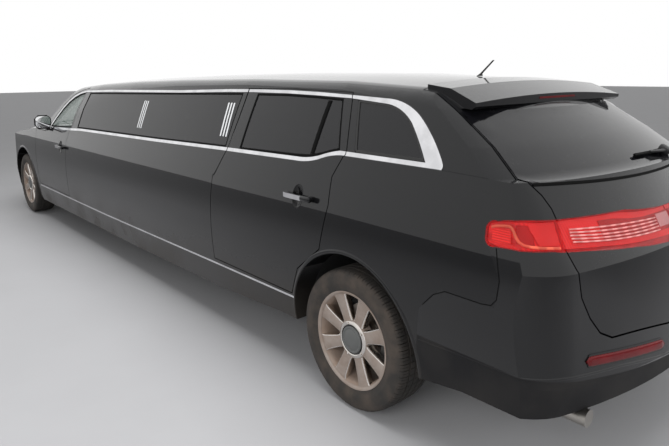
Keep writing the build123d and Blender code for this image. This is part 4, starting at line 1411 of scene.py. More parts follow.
    def _caliper(self) -> Mesh:
        """Caliper that straddles the disc behind the axle.

        Returns:
            The caliper, placed from the axle's end.
        """
        steps = 8
        rings = []
        for step in range(steps + 1):
            angle = math.radians(self.caliper_half * (2 * step / steps - 1))
            swell = 0.006 * math.cos(math.radians(-80 + 160 * step / steps))
            section = ((-0.062, 0.120), (-0.062, 0.196 + swell), (-0.052, 0.205 + swell),
                       (0.012, 0.205 + swell), (0.022, 0.196 + swell), (0.022, 0.140), (-0.001, 0.140),
                       (-0.001, 0.172), (-0.041, 0.172), (-0.041, 0.120))
            rings.extend(Vector((-radius * math.cos(angle), along, radius * math.sin(angle)))
                         for along, radius in section)
        return Mesh().add(rings, ring_faces(steps + 1, len(rings) // (steps + 1), Shape.OPEN, True))


@dataclass
class TailLamps(Fitting):
    """What shows behind the red lenses: reflectors, S-shaped light pipes, red blocks and pale bars."""

    lower: tuple[Pair, ...] = (
        (-1.30, 0.976), (-1.175, 0.976), (-1.133, 1.004), (-1.074, 1.032), (-1.020, 1.050), (-0.927, 1.055),
        (-0.836, 1.051), (-0.795, 1.060))
    upper: tuple[Pair, ...] = (
        (-1.30, 1.117), (-1.091, 1.117), (-1.059, 1.141), (-0.982, 1.152), (-0.910, 1.159), (-0.829, 1.146),
        (-0.795, 1.136))
    first_heights: tuple[float, ...] = (1.09, 1.06, 1.12)
    margin: float = 0.02
    centre: Pair = (-3.4125, 0.25)
    fan_start: float = 2.0
    fan_step: float = 0.35
    fan_rays: int = 250
    fan_columns: int = 20
    gate_start: float = 0.80
    gate_step: float = 0.0089
    gate_rays: int = 90
    gate_columns: int = 30
    bar_heights: tuple[float, ...] = (0.27, 0.37, 0.47, 0.57, 0.67)
    bar_places: tuple[float, ...] = (0.06, 0.44, 0.82)
    bar_steps: int = 24
    bar_section: tuple[Pair, ...] = ((-0.0036, -0.002), (-0.0026, 0.003))
    bar_depth: float = 0.005
    pipe_half: Pair = (0.0060, 0.0040)
    pipe_depth: float = 0.004
    pipe_line: tuple[Pair, ...] = (
        (0.06, 0.78), (0.12, 0.83), (0.22, 0.84), (0.31, 0.83), (0.355, 0.76), (0.385, 0.60),
        (0.415, 0.42), (0.45, 0.28), (0.50, 0.20), (0.58, 0.155), (0.72, 0.125), (0.86, 0.11),
        (0.95, 0.11))
    levels: int = 8
    steps: int = 16
    wall: float = 0.003
    outer_parts: tuple[tuple, ...] = (
        ("lamp_reflector", "red_reflector", 0.014, (0.0, 1.0, 0.0, 1.0), 0.0),
        ("lamp_block", "red_block", 0.006, (0.07, 0.33, 0.16, 0.72), 0.0),
        ("lamp_section", "dark_section", 0.010, (0.40, 0.64, 0.22, 0.90), 0.0),
        ("lamp_panel", "red_panel", 0.005, (0.69, 0.97, 0.20, 0.94), 0.13))
    gate_parts: tuple[tuple, ...] = (
        ("gate_reflector", "red_reflector", 0.014, (0.0, 1.0, 0.0, 1.0), 0.0),
        ("gate_section", "dark_section", 0.010, (0.30, 1.0, 0.24, 0.84), 0.0),
        ("reversing_light", "lamp_silver", 0.005, (0.84, 0.99, 0.34, 0.78), 0.0))

    def build(self) -> None:
        """Build both outer lamps and the lamp across the tailgate."""
        outer = Skin(self.nodes, ("tail_lamps",))
        inner = Skin(self.nodes, ("tailgate_lamp",))
        for side in Side:
            rows = self._rows(lambda i, z: self._round(outer, side, self.fan_start + self.fan_step * i, z),
                              self.fan_rays, self.fan_columns)
            for part in self.outer_parts:
                self._slab(rows, side, "chassis", *part)
            self._pipe(rows, side)
            half = self._rows(
                lambda i, z: inner.from_rear(side.value * (self.gate_start - self.gate_step * i), z),
                self.gate_rays, self.gate_columns)
            for part in self.gate_parts:
                self._slab(half, side, "tailgate_lid", *part)
            self._bars(half, side, inner)
        LOG.info("built the tail lamps")

    def _round(self, skin: Skin, side: Side, degrees: float, z: float) -> Hit | None:
        """The outer lamp's surface at an angle round the tail, 0 being at the side of the car.

        Args:
            skin: Surface that it lies on.
            side: Side of the car.
            degrees: The angle.
            z: Height of the ray.

        Returns:
            Point and normal, or None where the ray misses the lens.
        """
        turn = math.radians(degrees)
        way = Vector((-math.sin(turn), side.value * math.cos(turn), 0.0))
        middle = Vector((self.centre[0], side.value * self.centre[1], z))
        hit = skin.hit(middle + way * TAIL_DISTANCE, -way)
        return hit if hit is not None and way.dot(hit[1]) > 0.5 and (hit[0] - middle).dot(way) > 0.3 else None

    def _rows(self, cast: Callable[[int, float], Hit | None], steps: int, columns: int) -> Grid:
        """Grid of surface points over one lens, from its outer end to the tailgate's seam or middle.

        Args:
            cast: Gives the surface at a step along the lens and a height.
            steps: Number of steps along the lens.
            columns: Points that are wanted in a row.

        Returns:
            Nine rows from the lower edge to the upper one.
        """
        rows: list[list[Hit]] = [[] for _ in range(self.levels + 1)]
        for step in range(steps):
            for k, row in enumerate(rows):
                hit = next((found for z in self.first_heights if (found := cast(step, z)) is not None), None)
                for _ in range(4):
                    if hit is not None:
                        x = hit[0].x - REAR_AXLE
                        low, high = height_on(self.lower, x), height_on(self.upper, x)
                        share = self.margin + (1.0 - 2 * self.margin) * k / self.levels
                        hit = cast(step, low + (high - low) * share)
                if hit is not None:
                    row.append(hit)
        return [self._even(row, columns) for row in rows]

    def _even(self, hits: Sequence[Hit], count: int) -> list[Hit]:
        """Even spacing along one row of hits.

        Args:
            hits: The row.
            count: Number of points that are wanted.

        Returns:
            The evenly spaced row.
        """
        lengths = [0.0]
        for (a, _), (b, _) in zip(hits, hits[1:]):
            lengths.append(lengths[-1] + (b - a).length)
        result = []
        for i in range(count):
            want = lengths[-1] * i / (count - 1)
            j = next((n for n in range(1, len(lengths)) if lengths[n] >= want), len(lengths) - 1)
            share = (want - lengths[j - 1]) / max(lengths[j] - lengths[j - 1], 1e-9)
            (low, low_out), (high, high_out) = hits[j - 1], hits[j]
            result.append((low.lerp(high, share), low_out.lerp(high_out, share).normalized()))
        return result

    def _at(self, rows: Grid, u: float, v: float) -> Hit:
        """Point and normal at fractions along and up a grid.

        Args:
            rows: Surface points over the lens.
            u: Fraction along the lens.
            v: Fraction up the lens.

        Returns:
            Point and normal.
        """
        i = min(int(v * (len(rows) - 1)), len(rows) - 2)
        j = min(int(u * (len(rows[0]) - 1)), len(rows[0]) - 2)
        a, b = v * (len(rows) - 1) - i, u * (len(rows[0]) - 1) - j
        low = rows[i][j][0].lerp(rows[i][j + 1][0], b)
        high = rows[i + 1][j][0].lerp(rows[i + 1][j + 1][0], b)
        return low.lerp(high, a), rows[i][j][1].lerp(rows[i + 1][j + 1][1], 0.5).normalized()

    def _slab(self, rows: Grid, side: Side, body: str, name: str, finish: str, depth: float,
              reach: tuple[float, float, float, float], lean: float) -> None:
        """One part of the lamp that follows the lens from behind.

        Args:
            rows: Surface points over the lens.
            side: Side of the car.
            body: The CAD body that it moves with.
            name: Name of the piece, before its side.
            finish: Name of its material.
            depth: How far behind the lens it lies.
            reach: Fractions along the lens where it starts and ends, and the same up the lens.
            lean: How much earlier along the lens it starts at its top.
        """
        left, right, low, high = reach
        grid = []
        for k in range(self.levels + 1):
            start = left - lean * k / self.levels
            rise = low + (high - low) * k / self.levels
            grid.append([self._at(rows, start + (right - start) * j / self.steps, rise)
                         for j in range(self.steps + 1)])
        self.make(sheet_of(grid, -depth, self.wall), f"{name}_{side.word}", finish, body, "red_lens", 60.0)

    def _pipe(self, rows: Grid, side: Side) -> None:
        """S-shaped light pipe in an outer lamp.

        Args:
            rows: Surface points over the lens.
            side: Side of the car.
        """
        path, normals = on_skin((self._at(rows, u, v) for u, v in self.pipe_line), -self.pipe_depth)
        tube = oval(*self.pipe_half, count=10)
        self.make(sweep(path, normals, tube), f"light_pipe_{side.word}", "light_pipe", "chassis",
                  "red_lens", 60.0)

    def _bars(self, rows: Grid, side: Side, skin: Skin) -> None:
        """Five pale bars in even arcs across the tailgate's lamp.

        Args:
            rows: Surface points over the lens.
            side: Side of the car.
            skin: Surface that it lies on.
        """
        mesh = Mesh()
        bar = mirrored(*self.bar_section)
        for v in self.bar_heights:
            first, middle, last = (self._at(rows, u, v)[0] for u in self.bar_places)
            hits = []
            for i in range(self.bar_steps + 1):
                y = first.y + (last.y - first.y) * i / self.bar_steps
                z = (first.z * (y - middle.y) * (y - last.y) / ((first.y - middle.y) * (first.y - last.y))
                     + middle.z * (y - first.y) * (y - last.y) / ((middle.y - first.y) * (middle.y - last.y))
                     + last.z * (y - first.y) * (y - middle.y) / ((last.y - first.y) * (last.y - middle.y)))
                hits.append(skin.from_rear(y, z))
            path, normals = on_skin(hits, -self.bar_depth)
            mesh.join(sweep(path, normals, bar))
        self.make(mesh, f"lamp_bars_{side.word}", "pale_bar", "tailgate_lid", "red_lens")


@dataclass
class RearBumperTrim(Fitting):
    """Reflectors and the raised crease of the rear bumper."""

    centre: Pair = (-3.1125, 0.0)
    crease: tuple[Pair, ...] = ((14.5, 0.543), (30.0, 0.556), (47.0, 0.572), (60.0, 0.562), (75.0, 0.530),
                                (90.0, 0.510))
    crease_ends: Pair = (16.0, 164.0)
    crease_steps: int = 150
    reflector_steps: int = 40
    reflector_start: Pair = (0.745, 0.622)
    reflector_run: Pair = (-0.475, -0.040)
    reflector_length: float = 0.52
    end_length: float = 0.022
    bead: tuple[Pair, ...] = ((-0.0100, -0.004), (-0.0065, 0.0022), (0.0, 0.0040), (0.0085, -0.004))
    reflector_section: tuple[Pair, ...] = ((-0.0200, -0.004), (-0.0185, 0.0055), (-0.0150, 0.0075))
    bezel_section: tuple[Pair, ...] = ((-0.0290, -0.004), (-0.0270, 0.0030))

    def build(self) -> None:
        """Build the crease line and both reflectors."""
        skin = Skin(self.nodes, ("rear_bumper",))
        self._crease(skin)
        for side in Side:
            self._reflector(skin, side)
        LOG.info("built the rear bumper's trim")

    def _crease(self, skin: Skin) -> None:
        """Rounded bead along the bumper, from one wheel arch to the other.

        Args:
            skin: Surface that it lies on.
        """
        first, last = self.crease_ends
        angles = [first + (last - first) * i / self.crease_steps for i in range(self.crease_steps + 1)]
        path, normals = on_skin(skin.round_tail(a, height_on(self.crease, min(a, 180.0 - a)), self.centre)
                                for a in angles)
        self.make(sweep(path, normals, self.bead), "bumper_crease", "rear_bumper_cover", "chassis",
                  "bumper_plastic", 60.0)

    def _reflector(self, skin: Skin, side: Side) -> None:
        """Long reflector with rounded ends in a dark bezel.

        Args:
            skin: Surface that it lies on.
            side: Side of the car.
        """
        hits, widths = [], []
        for i in range(self.reflector_steps + 1):
            share = i / self.reflector_steps
            y, z = (start + run * share for start, run in zip(self.reflector_start, self.reflector_run))
            hits.append(skin.from_rear(side.value * y, z))
            end = min(share, 1 - share) * self.reflector_length
            bow = end * (2 * self.end_length - end) / self.end_length ** 2
            widths.append(min(1.0, math.sqrt(max(0.02, bow))) if end < self.end_length else 1.0)
        path, normals = on_skin(hits)
        body, bezel = mirrored(*self.reflector_section), mirrored(*self.bezel_section)
        self.make(sweep(path, normals, body, widths=widths), f"rear_reflector_{side.word}", "reflector_red",
                  "chassis", "red_lens")
        self.make(sweep(path, normals, bezel, widths=widths), f"reflector_bezel_{side.word}", "gloss_black",
                  "chassis", "bumper_plastic")


@dataclass
class SideWindows(Fitting):
    """What frames and divides the side glass: rubber seals, the rear doors' bar and white stripes."""

    panes: tuple[tuple[str, str, str, tuple[Pair, ...]], ...] = (
        ("front_door", "front_door_glass_{side}", "front_{side}_door",
         ((4.268, 1.530), (4.407, 1.512), (4.551, 1.476), (4.684, 1.424), (4.803, 1.352), (4.913, 1.247),
          (4.998, 1.148), (4.310, 1.176))),
        ("rear_door", "rear_door_glass_{side}", "rear_{side}_door",
         ((1.084, 1.588), (1.100, 1.245), (0.500, 1.260), (0.402, 1.266), (0.310, 1.285), (0.236, 1.307),
          (0.172, 1.320), (0.262, 1.578), (0.493, 1.586), (0.759, 1.591))),
        ("stretch", "side_glass", "chassis",
         ((4.120, 1.532), (4.130, 1.184), (2.297, 1.216), (1.262, 1.242), (1.250, 1.588), (2.141, 1.570))),
        ("quarter", "side_glass", "chassis",
         ((0.060, 1.320), (0.148, 1.576), (-0.060, 1.563), (-0.135, 1.548), (-0.180, 1.533), (-0.226, 1.510),
          (-0.262, 1.482), (-0.300, 1.448), (-0.330, 1.411), (-0.368, 1.366), (-0.403, 1.322))))
    bar: tuple[Pair, Pair] = ((0.388, 1.262), (0.366, 1.584))
    stripes: tuple[tuple[Pair, Pair], ...] = (
        ((2.688, 1.495), (2.676, 1.277)), ((1.358, 1.521), (1.339, 1.306)))
    stripe_pitch: float = 0.035
    stripe_steps: int = 10
    bar_steps: int = 16
    corner: float = 0.020
    overlap: float = 0.006
    spacing: float = 0.05
    lip_section: tuple[Pair, ...] = ((-0.0075, -0.003), (-0.0070, 0.0026), (-0.0035, 0.0036))
    bar_section: tuple[Pair, ...] = ((-0.0150, -0.003), (-0.0145, 0.0030), (-0.0120, 0.0042))
    film_section: tuple[Pair, ...] = ((-0.0075, -0.0004), (-0.0075, 0.0005))

    def build(self) -> None:
        """Build seals, bars and stripes on both sides."""
        for side in Side:
            for name, node, body, outline in self.panes:
                skin = Skin(self.nodes, (node.format(side=side.word),))
                self._seal(skin, side, name, body.format(side=side.word), outline)
            self._bar(side)
            self._stripes(side)
        LOG.info("framed the side windows")

    def _seal(self, skin: Skin, side: Side, name: str, body: str, outline: Sequence[Pair]) -> None:
        """Rubber lip all round one pane, half under the edge of the metal.

        Args:
            skin: Surface that it lies on.
            side: Side of the car.
            name: Name of the pane.
            body: The CAD body that it moves with.
            outline: Corners of its outline.
        """
        line = resample(inset(rounded(outline, self.corner, 3), self.overlap), self.spacing, True)
        path, normals = on_skin(skin.from_side(behind(x), z, side) for x, z in line)
        slot = "clear_glass" if name == "front_door" else "dark_glass"
        finish = "gloss_black" if name == "quarter" else "seal_rubber"
        lip = mirrored(*self.lip_section)
        self.make(sweep(path, normals, lip, Shape.CLOSED), f"{name}_seal_{side.word}", finish, body, slot)

    def _straight(self, skin: Skin, side: Side, ends: tuple[Pair, Pair], steps: int,
                  away: float = 0.0) -> tuple[list[Vector], list[Vector]]:
        """Points and normals on the glass along a straight line, moved ahead by a distance.

        Args:
            skin: Surface that it lies on.
            side: Side of the car.
            ends: Both ends of the line.
            steps: Number of steps along it.
            away: The distance.

        Returns:
            The points and the normals.
        """
        (x0, z0), (x1, z1) = ends
        return on_skin(
            skin.from_side(behind(x0 + away + (x1 - x0) * i / steps), z0 + (z1 - z0) * i / steps, side)
            for i in range(steps + 1))

    def _bar(self, side: Side) -> None:
        """Upright bar between the rear door's two panes.

        Args:
            side: Side of the car.
        """
        glass = Skin(self.nodes, (f"rear_door_glass_{side.word}",))
        path, normals = self._straight(glass, side, self.bar, self.bar_steps)
        section = mirrored(*self.bar_section)
        self.make(sweep(path, normals, section), f"rear_door_bar_{side.word}", "seal_rubber",
                  f"rear_{side.word}_door", "dark_glass")

    def _stripes(self, side: Side) -> None:
        """Two groups of three white stripes on the long fixed pane.

        Args:
            side: Side of the car.
        """
        skin = Skin(self.nodes, ("side_glass",))
        mesh = Mesh()
        film = mirrored(*self.film_section)
        for ends in self.stripes:
            for number in (-1, 0, 1):
                away = self.stripe_pitch * number
                path, normals = self._straight(skin, side, ends, self.stripe_steps, away)
                mesh.join(sweep(path, normals, film))
        self.make(mesh, f"window_stripes_{side.word}", "white_marking", "chassis", "dark_glass", 30.0)


@dataclass
class DoorFittings(Fitting):
    """Finger cups and end caps of the pull handles, mirror faces and their bezels."""

    handles: tuple[tuple[str, float, float], ...] = (
        ("front", ahead(-0.553 - 0.970), 0.965), ("rear", behind(1.340 - 0.940), 1.060))
    mirror: Place = (2.0355, 0.997, 1.205)
    cup: Pair = (0.046, 0.064)
    cup_rings: tuple[Pair, ...] = (
        (1.03, -0.0010), (1.0, 0.0012), (0.96, 0.0016), (0.90, 0.0009), (0.6, 0.0004), (0.25, 0.0004))
    cup_points: int = 40

    def build(self) -> None:
        """Build them on all four doors."""
        for side in Side:
            for end, x, z in self.handles:
                skin = Skin(self.nodes, (f"{end}_door_{side.word}",))
                self._cup(skin, side, end, x + 0.018, z - 0.002)
                self._cap(skin, side, end, x, z)
            self._mirror(side)
        LOG.info("fitted the doors")

    def _cup(self, skin: Skin, side: Side, end: str, x: float, z: float) -> None:
        """Oval cup behind the grip, with a thin raised lip, in a finish whose darker middle is painted shade.

        Args:
            skin: Surface that it lies on.
            side: Side of the car.
            end: Which end of the car.
            x: Its middle along the car.
            z: Its middle height.
        """
        rings = []
        for share, lift in self.cup_rings:
            outline = oval(self.cup[0] * share, self.cup[1] * share, 2.2, self.cup_points)
            path, _ = on_skin((skin.from_side(x + a, z + b, side) for a, b in outline), lift)
            rings.extend(path)
        count = len(self.cup_rings)
        faces = ring_faces(count, self.cup_points, Shape.OPEN, False)
        faces.append(tuple(range((count - 1) * self.cup_points, count * self.cup_points)))
        # the cup's finish paints shade darkening its middle
        self.make(Mesh().add(rings, faces), f"handle_cup_{end}_{side.word}", f"{end}_cup",
                  f"{end}_{side.word}_door", "paint", 30.0)

    def _cap(self, skin: Skin, side: Side, end: str, x: float, z: float) -> None:
        """Body-coloured cap over the handle's rear end.

        Args:
            skin: Surface that it lies on.
            side: Side of the car.
            end: Which end of the car.
            x: The handle's middle along the car.
            z: The handle's height.
        """
        hit = skin.from_side(x - 0.135, z, side)
        y = abs(hit[0].y) + 0.0300
        mesh = Mesh().box((0.082, 0.0260, 0.0310), 0.0110, at(x - 0.087, side.value * y, z), 4)
        mesh.box((0.034, 0.0400, 0.0280), 0.0080, at(x - 0.108, side.value * (y - 0.018), z))
        self.make(mesh, f"handle_cap_{end}_{side.word}", "black_paint", f"{end}_{side.word}_door",
                  "paint", 30.0)

    def _mirror(self, side: Side) -> None:
        """Mirror face in its bezel, towards the rear.

        Args:
            side: Side of the car.
        """
        x, y, z = self.mirror
        spin = stand(Vector((x, side.value * y, z)), Vector((-1.0, 0.0, 0.0)))
        bezel = Mesh().join(plate(oval(0.0830, 0.0700, 3.6), 0.0060, 0.0020), spin)
        face = Mesh().join(plate(oval(0.0760, 0.0630, 3.6), 0.0025, 0.0008), spin @ at(0, 0, 0.0055))
        body = f"front_{side.word}_door"
        self.make(bezel, f"mirror_bezel_{side.word}", "gloss_black", body, "paint", 30.0)
        self.make(face, f"mirror_face_{side.word}", "mirror_face", body, "paint", 30.0)


@dataclass
class TailgateFittings(Fitting):
    """Wrap-round rear glass with its seal and wiper, and the high brake light in the spoiler."""

    hinge: Pair = (-0.225, 1.684)
    sides: tuple[Pair, ...] = ((0.016, 0.655), (0.325, 0.700), (0.520, 0.735), (0.770, 0.800), (0.830, 0.768))
    columns: int = 36
    half: float = 0.7750
    margin: float = 0.0045
    first_half: float = 0.66
    passes: int = 6
    foremost: float = -0.25
    foot: float = 1.282
    sag: float = 0.026
    sag_half: float = 0.80
    top: float = 1.536
    lip: float = 0.0035
    shares: tuple[float, ...] = (0.0, 0.35, 0.7, 1.0)
    upper_rows: int = 13
    ledge_from: float = 1.262
    ledge_usual: float = 1.284
    ledge_depth: float = 0.006
    spoiler_from: float = 1.54
    spoiler_usual: float = 1.585
    spoiler_edge: float = -0.530
    scan: float = 0.001
    wiper_slot: str = "cabin_plastic"
    seal_section: tuple[Pair, ...] = ((-0.0065, -0.004), (-0.0060, 0.0040))
    arm_section: tuple[Pair, ...] = ((-0.009, -0.005), (-0.008, 0.004))
    blade_section: tuple[Pair, ...] = (
        (-0.0015, 0.0), (-0.0025, 0.006), (-0.0065, 0.009), (-0.0060, 0.015))
    lens_section: tuple[Pair, ...] = ((-0.0055, -0.003), (-0.0045, 0.0022))

    def build(self) -> None:
        """Build all of them on the tailgate."""
        self._glass()
        self._wiper(Skin(self.nodes, ("tailgate_glass",)))
        self._brake_light()
        LOG.info("fitted the tailgate")

    def _half(self, place: Vector) -> float:
        """Half-width of the tailgate at a point on it, from its distance to the hinge."""
        return height_on(self.sides, math.hypot(place.x - behind(self.hinge[0]), place.z - self.hinge[1]))

    def _glass(self) -> None:
        """Outer glass from one side of the tailgate to the other, and the seal under it."""
        skin = Skin(self.nodes, ("tailgate", "tailgate_glass"))
        last = self.upper_rows
        grid: list[list[Hit | None]] = [[] for _ in range(len(self.shares) + last + 1)]
        for j in range(self.columns + 1):
            y = self.half * (2 * j / self.columns - 1)
            bottom = self.foot - self.sag * (1 - (y / self.sag_half) ** 2)
            ledge = self._ledge(skin, y)
            heights = [bottom + (ledge - bottom) * share for share in self.shares]
            heights += [ledge + self.lip + (self.top - ledge - self.lip) * k / last for k in range(last + 1)]
            for row, z in zip(grid, heights):
                place = y
                for _ in range(self.passes):
                    hit = skin.from_rear(place, z)
                    edge = self._half(hit[0]) - self.margin if hit is not None else self.first_half
                    place = y / self.half * edge
                hit = skin.from_rear(place, z)
                row.append(hit if hit is not None and hit[0].x < behind(self.foremost) else None)
        rows = [self._filled(row) for row in grid if sum(hit is not None for hit in row) > 4]
        self.make(sheet_of(rows, 0.0030, 0.0026), "rear_glass_pane", "dark_glass", "tailgate_lid",
                  "dark_glass")
        seal = mirrored(*self.seal_section)
        self.make(sweep(*on_skin(rows[0]), seal), "rear_glass_seal", "seal_rubber", "tailgate_lid",
                  "dark_glass")

    def _ledge(self, skin: Skin, y: float) -> float:
        """Height of the ledge under the CAD glass.

        Args:
            skin: Surface that it lies on.
            y: Place across the car.

        Returns:
            The height.
        """
        for step in range(50):
            z = self.ledge_from + self.scan * step
            low, high = skin.from_rear(y, z), skin.from_rear(y, z + self.scan)
            if low is not None and high is not None and high[0].x - low[0].x > self.ledge_depth:
                return z
        return self.ledge_usual

    def _filled(self, row: Sequence[Hit | None]) -> list[Hit]:
        """Fill what a row misses from its neighbours, in line beyond the last one.

        Args:
            row: Points of the row, None where a ray missed.

        Returns:
            The full row.
        """
        found = [j for j, hit in enumerate(row) if hit is not None]
        result = []
        for j, hit in enumerate(row):
            if hit is not None:
                result.append(hit)
                continue
            left = max((i for i in found if i < j), default=found[0])
            right = min((i for i in found if i > j), default=found[-1])
            if left == found[0] and j < left:
                right = found[1]
            if right == found[-1] and j > right:
                left = found[-2]
            share = (j - left) / (right - left)
            normal = row[left][1].lerp(row[right][1], min(1.0, max(0.0, share))).normalized()
            result.append((row[left][0].lerp(row[right][0], share), normal))
        return result

    def _wiper(self, skin: Skin) -> None:
        """Pivot cap, tapering arm and blade.

        Args:
            skin: Surface that it lies on.
        """
        cap = Mesh().join(plate(oval(0.030, 0.030), 0.034, 0.010), stand(*skin.from_rear(-0.40, 1.300)))
        self.make(cap, "wiper_pivot", "cabin_plastic", "tailgate_lid", self.wiper_slot)
        hits = [skin.from_rear(-0.40 + 0.22 * i / 12, 1.296 + 0.013 * i / 12) for i in range(13)]
        path, normals = on_skin(hits, 0.020)
        arm = sweep(path, normals, mirrored(*self.arm_section),
                    widths=[1.0 - 0.045 * i for i in range(13)])
        self.make(arm, "wiper_arm", "cabin_plastic", "tailgate_lid", self.wiper_slot)
        hits = [skin.from_rear(-0.38 + 0.37 * i / 24, 1.306 + 0.006 * i / 24) for i in range(25)]
        path, normals = on_skin(hits, 0.0035)
        blade = mirrored(*self.blade_section)
        self.make(sweep(path, normals, blade), "wiper_blade", "seal_rubber", "tailgate_lid", self.wiper_slot)

    def _brake_light(self) -> None:
        """Long thin lens in the spoiler's rear edge."""
        skin = Skin(self.nodes, ("spoiler",))
        height = self._lip(skin)
        path, normals = on_skin(skin.from_rear(-0.17 + 0.34 * i / 20, height) for i in range(21))
        lens = mirrored(*self.lens_section)
        if len(path) > 2:
            self.make(sweep(path, normals, lens), "high_brake_light", "reflector_red", "tailgate_lid",
                      "red_lens")

    def _lip(self, skin: Skin) -> float:
        """Middle height of the spoiler's rear edge.

        Args:
            skin: Surface that it lies on.

        Returns:
            The height.
        """
        heights = [self.spoiler_from + self.scan * i for i in range(80)]
        hits = [(z, skin.from_rear(0.0, z)) for z in heights]
        edge = [z for z, hit in hits if hit is not None and hit[0].x < behind(self.spoiler_edge)]
        return sum(edge) / len(edge) if edge else self.spoiler_usual


@dataclass
class BodySeams(Fitting):
    """Rolled lips of the wheel arches and the seams of the rear bumper's cover."""

    lip_radius: float = 0.4665
    lip_steps: int = 72
    roll: tuple[Pair, ...] = (
        (-0.0100, -0.002), (-0.0098, 0.0018), (-0.0070, 0.0040), (0.0, 0.0034), (0.0070, 0.0018),
        (0.0100, 0.0002), (0.0100, -0.002))
    strip_section: tuple[Pair, ...] = ((-0.0024, -0.001), (-0.0022, 0.0005))
    spacing: float = 0.03
    seam: tuple[Pair, ...] = (
        (-0.842, 1.046), (-0.874, 0.924), (-0.868, 0.850), (-0.845, 0.822), (-0.800, 0.815), (-0.620, 0.815),
        (-0.560, 0.785), (-0.500, 0.722))

    def build(self) -> None:
        """Build them on both sides."""
        rear = Skin(self.nodes, ("body_side_left", "body_side_right", "rear_bumper"))
        front = Skin(self.nodes, ("front_fenders", "front_bumper", "body_side_left", "body_side_right"))
        for side in Side:
            self._lip(rear, side, End.REAR)
            self._lip(front, side, End.FRONT)
            self._seam(rear, side)
        LOG.info("drew the seams")

    def _lip(self, skin: Skin, side: Side, end: End) -> None:
        """Rolled edge round one arch, as far down as the body goes.

        Args:
            skin: Surface that it lies on.
            side: Side of the car.
            end: Which end of the car.
        """
        hits = []
        for step in range(self.lip_steps + 1):
            angle = math.radians(-18 + 216 * step / self.lip_steps)
            z = AXLE_HEIGHT + self.lip_radius * math.sin(angle)
            hit = skin.from_side(end.value + self.lip_radius * math.cos(angle), z, side)
            if hit is not None and abs(hit[0].y) > 0.86 and abs(hit[1].y) > 0.7:
                hits.append(hit)
        path, normals = on_skin(hits)
        section = self.roll if side is Side.RIGHT else [(-a, b) for a, b in reversed(self.roll)]
        self.make(sweep(path, normals, section), f"arch_lip_{end.word}_{side.word}", "black_paint", "chassis",
                  "paint", 50.0)

    def _seam(self, skin: Skin, side: Side) -> None:
        """Dark line where the bumper's cover meets the body side.

        Args:
            skin: Surface that it lies on.
            side: Side of the car.
        """
        line = resample(self.seam, self.spacing, False)
        path, normals = on_skin(skin.from_side(behind(x), z, side) for x, z in line)
        strip = mirrored(*self.strip_section)
        self.make(sweep(path, normals, strip), f"bumper_seam_{side.word}", "seal_rubber", "chassis",
                  "paint", 30.0)


@dataclass
class FrontDetails(Fitting):
    """Projectors behind the headlamp lenses, fog lamps and wipers."""

    bowls: tuple[Place, ...] = ((0.585, 0.862, 0.040), (0.685, 0.858, 0.036))
    bowl_depth: float = 0.030
    fog: Pair = (0.62, 0.425)
    fog_lens: Pair = (0.052, 0.040)
    fog_ring: Pair = (0.066, 0.052)
    blade_section: tuple[Pair, ...] = ((-0.002, 0.0), (-0.007, 0.009), (-0.006, 0.016))
    wipers: tuple[Pair, ...] = ((0.66, 0.02), (0.05, -0.52))

    def build(self) -> None:
        """Build the front's small parts."""
        lens = Skin(self.nodes, ("headlamps",))
        bumper = Skin(self.nodes, ("front_bumper",))
        for side in Side:
            mesh = Mesh()
            for y, z, radius in self.bowls:
                hit = lens.from_front(side.value * y, z)
                if hit is not None:
                    mesh.join(self._bowl(radius),
                              stand(hit[0] - Vector((self.bowl_depth, 0, 0)), Vector((1.0, 0.0, 0.0))))
            self.make(mesh, f"headlamp_bowls_{side.word}", "lamp_silver mirror_face", "chassis", "clear_lens")
            hit = bumper.from_front(side.value * self.fog[0], self.fog[1])
            if hit is not None:
                lamp = Mesh().join(plate(oval(*self.fog_lens, 2.4), 0.010, 0.003), stand(*hit))
                self.make(lamp, f"fog_lamp_{side.word}", "clear_lens", "chassis", "clear_lens")
                ring = Mesh().join(plate(oval(*self.fog_ring, 2.4), 0.006, 0.002), stand(*hit))
                self.make(ring, f"fog_bezel_{side.word}", "gloss_black", "chassis", "bumper_plastic")
        self._wipers()
        LOG.info("built the front's details")

    def _bowl(self, radius: float) -> Mesh:
        """Reflector bowl with a lens in its middle, opening along Z.

        Args:
            radius: Radius of its mouth.

        Returns:
            The bowl, its mouth towards +Z.
        """
        bowl = lathe([(0.0, radius), (-0.004, radius), (-0.020, radius * 0.75), (-0.028, radius * 0.4),
                      (-0.026, radius * 0.36), (-0.016, radius * 0.70), (-0.002, radius * 0.93)], 40)
        ball = lathe([(-0.026, 0.0), (-0.026, radius * 0.45), (-0.014, radius * 0.42),
                      (-0.008, radius * 0.25), (-0.006, 0.0)], 32, False)
        tip = at(0, 0, 0, QUARTER_TURN, "X")
        return Mesh().join(bowl, tip, 0).join(ball, tip, 1)

    def _wipers(self) -> None:
        """Two parked wipers at the foot of the windshield."""
        skin = Skin(self.nodes, ("windshield",))
        blade = mirrored(*self.blade_section)
        for number, (start, end) in enumerate(self.wipers):
            hits = [skin.from_front(start + (end - start) * i / 20, 1.158 + 0.020 * i / 20)
                    for i in range(21)]
            path, normals = on_skin(hits, 0.001)
            if len(path) > 3:
                self.make(sweep(path, normals, blade), f"front_wiper_{number}", "seal_rubber", "chassis",
                          "cabin_plastic")


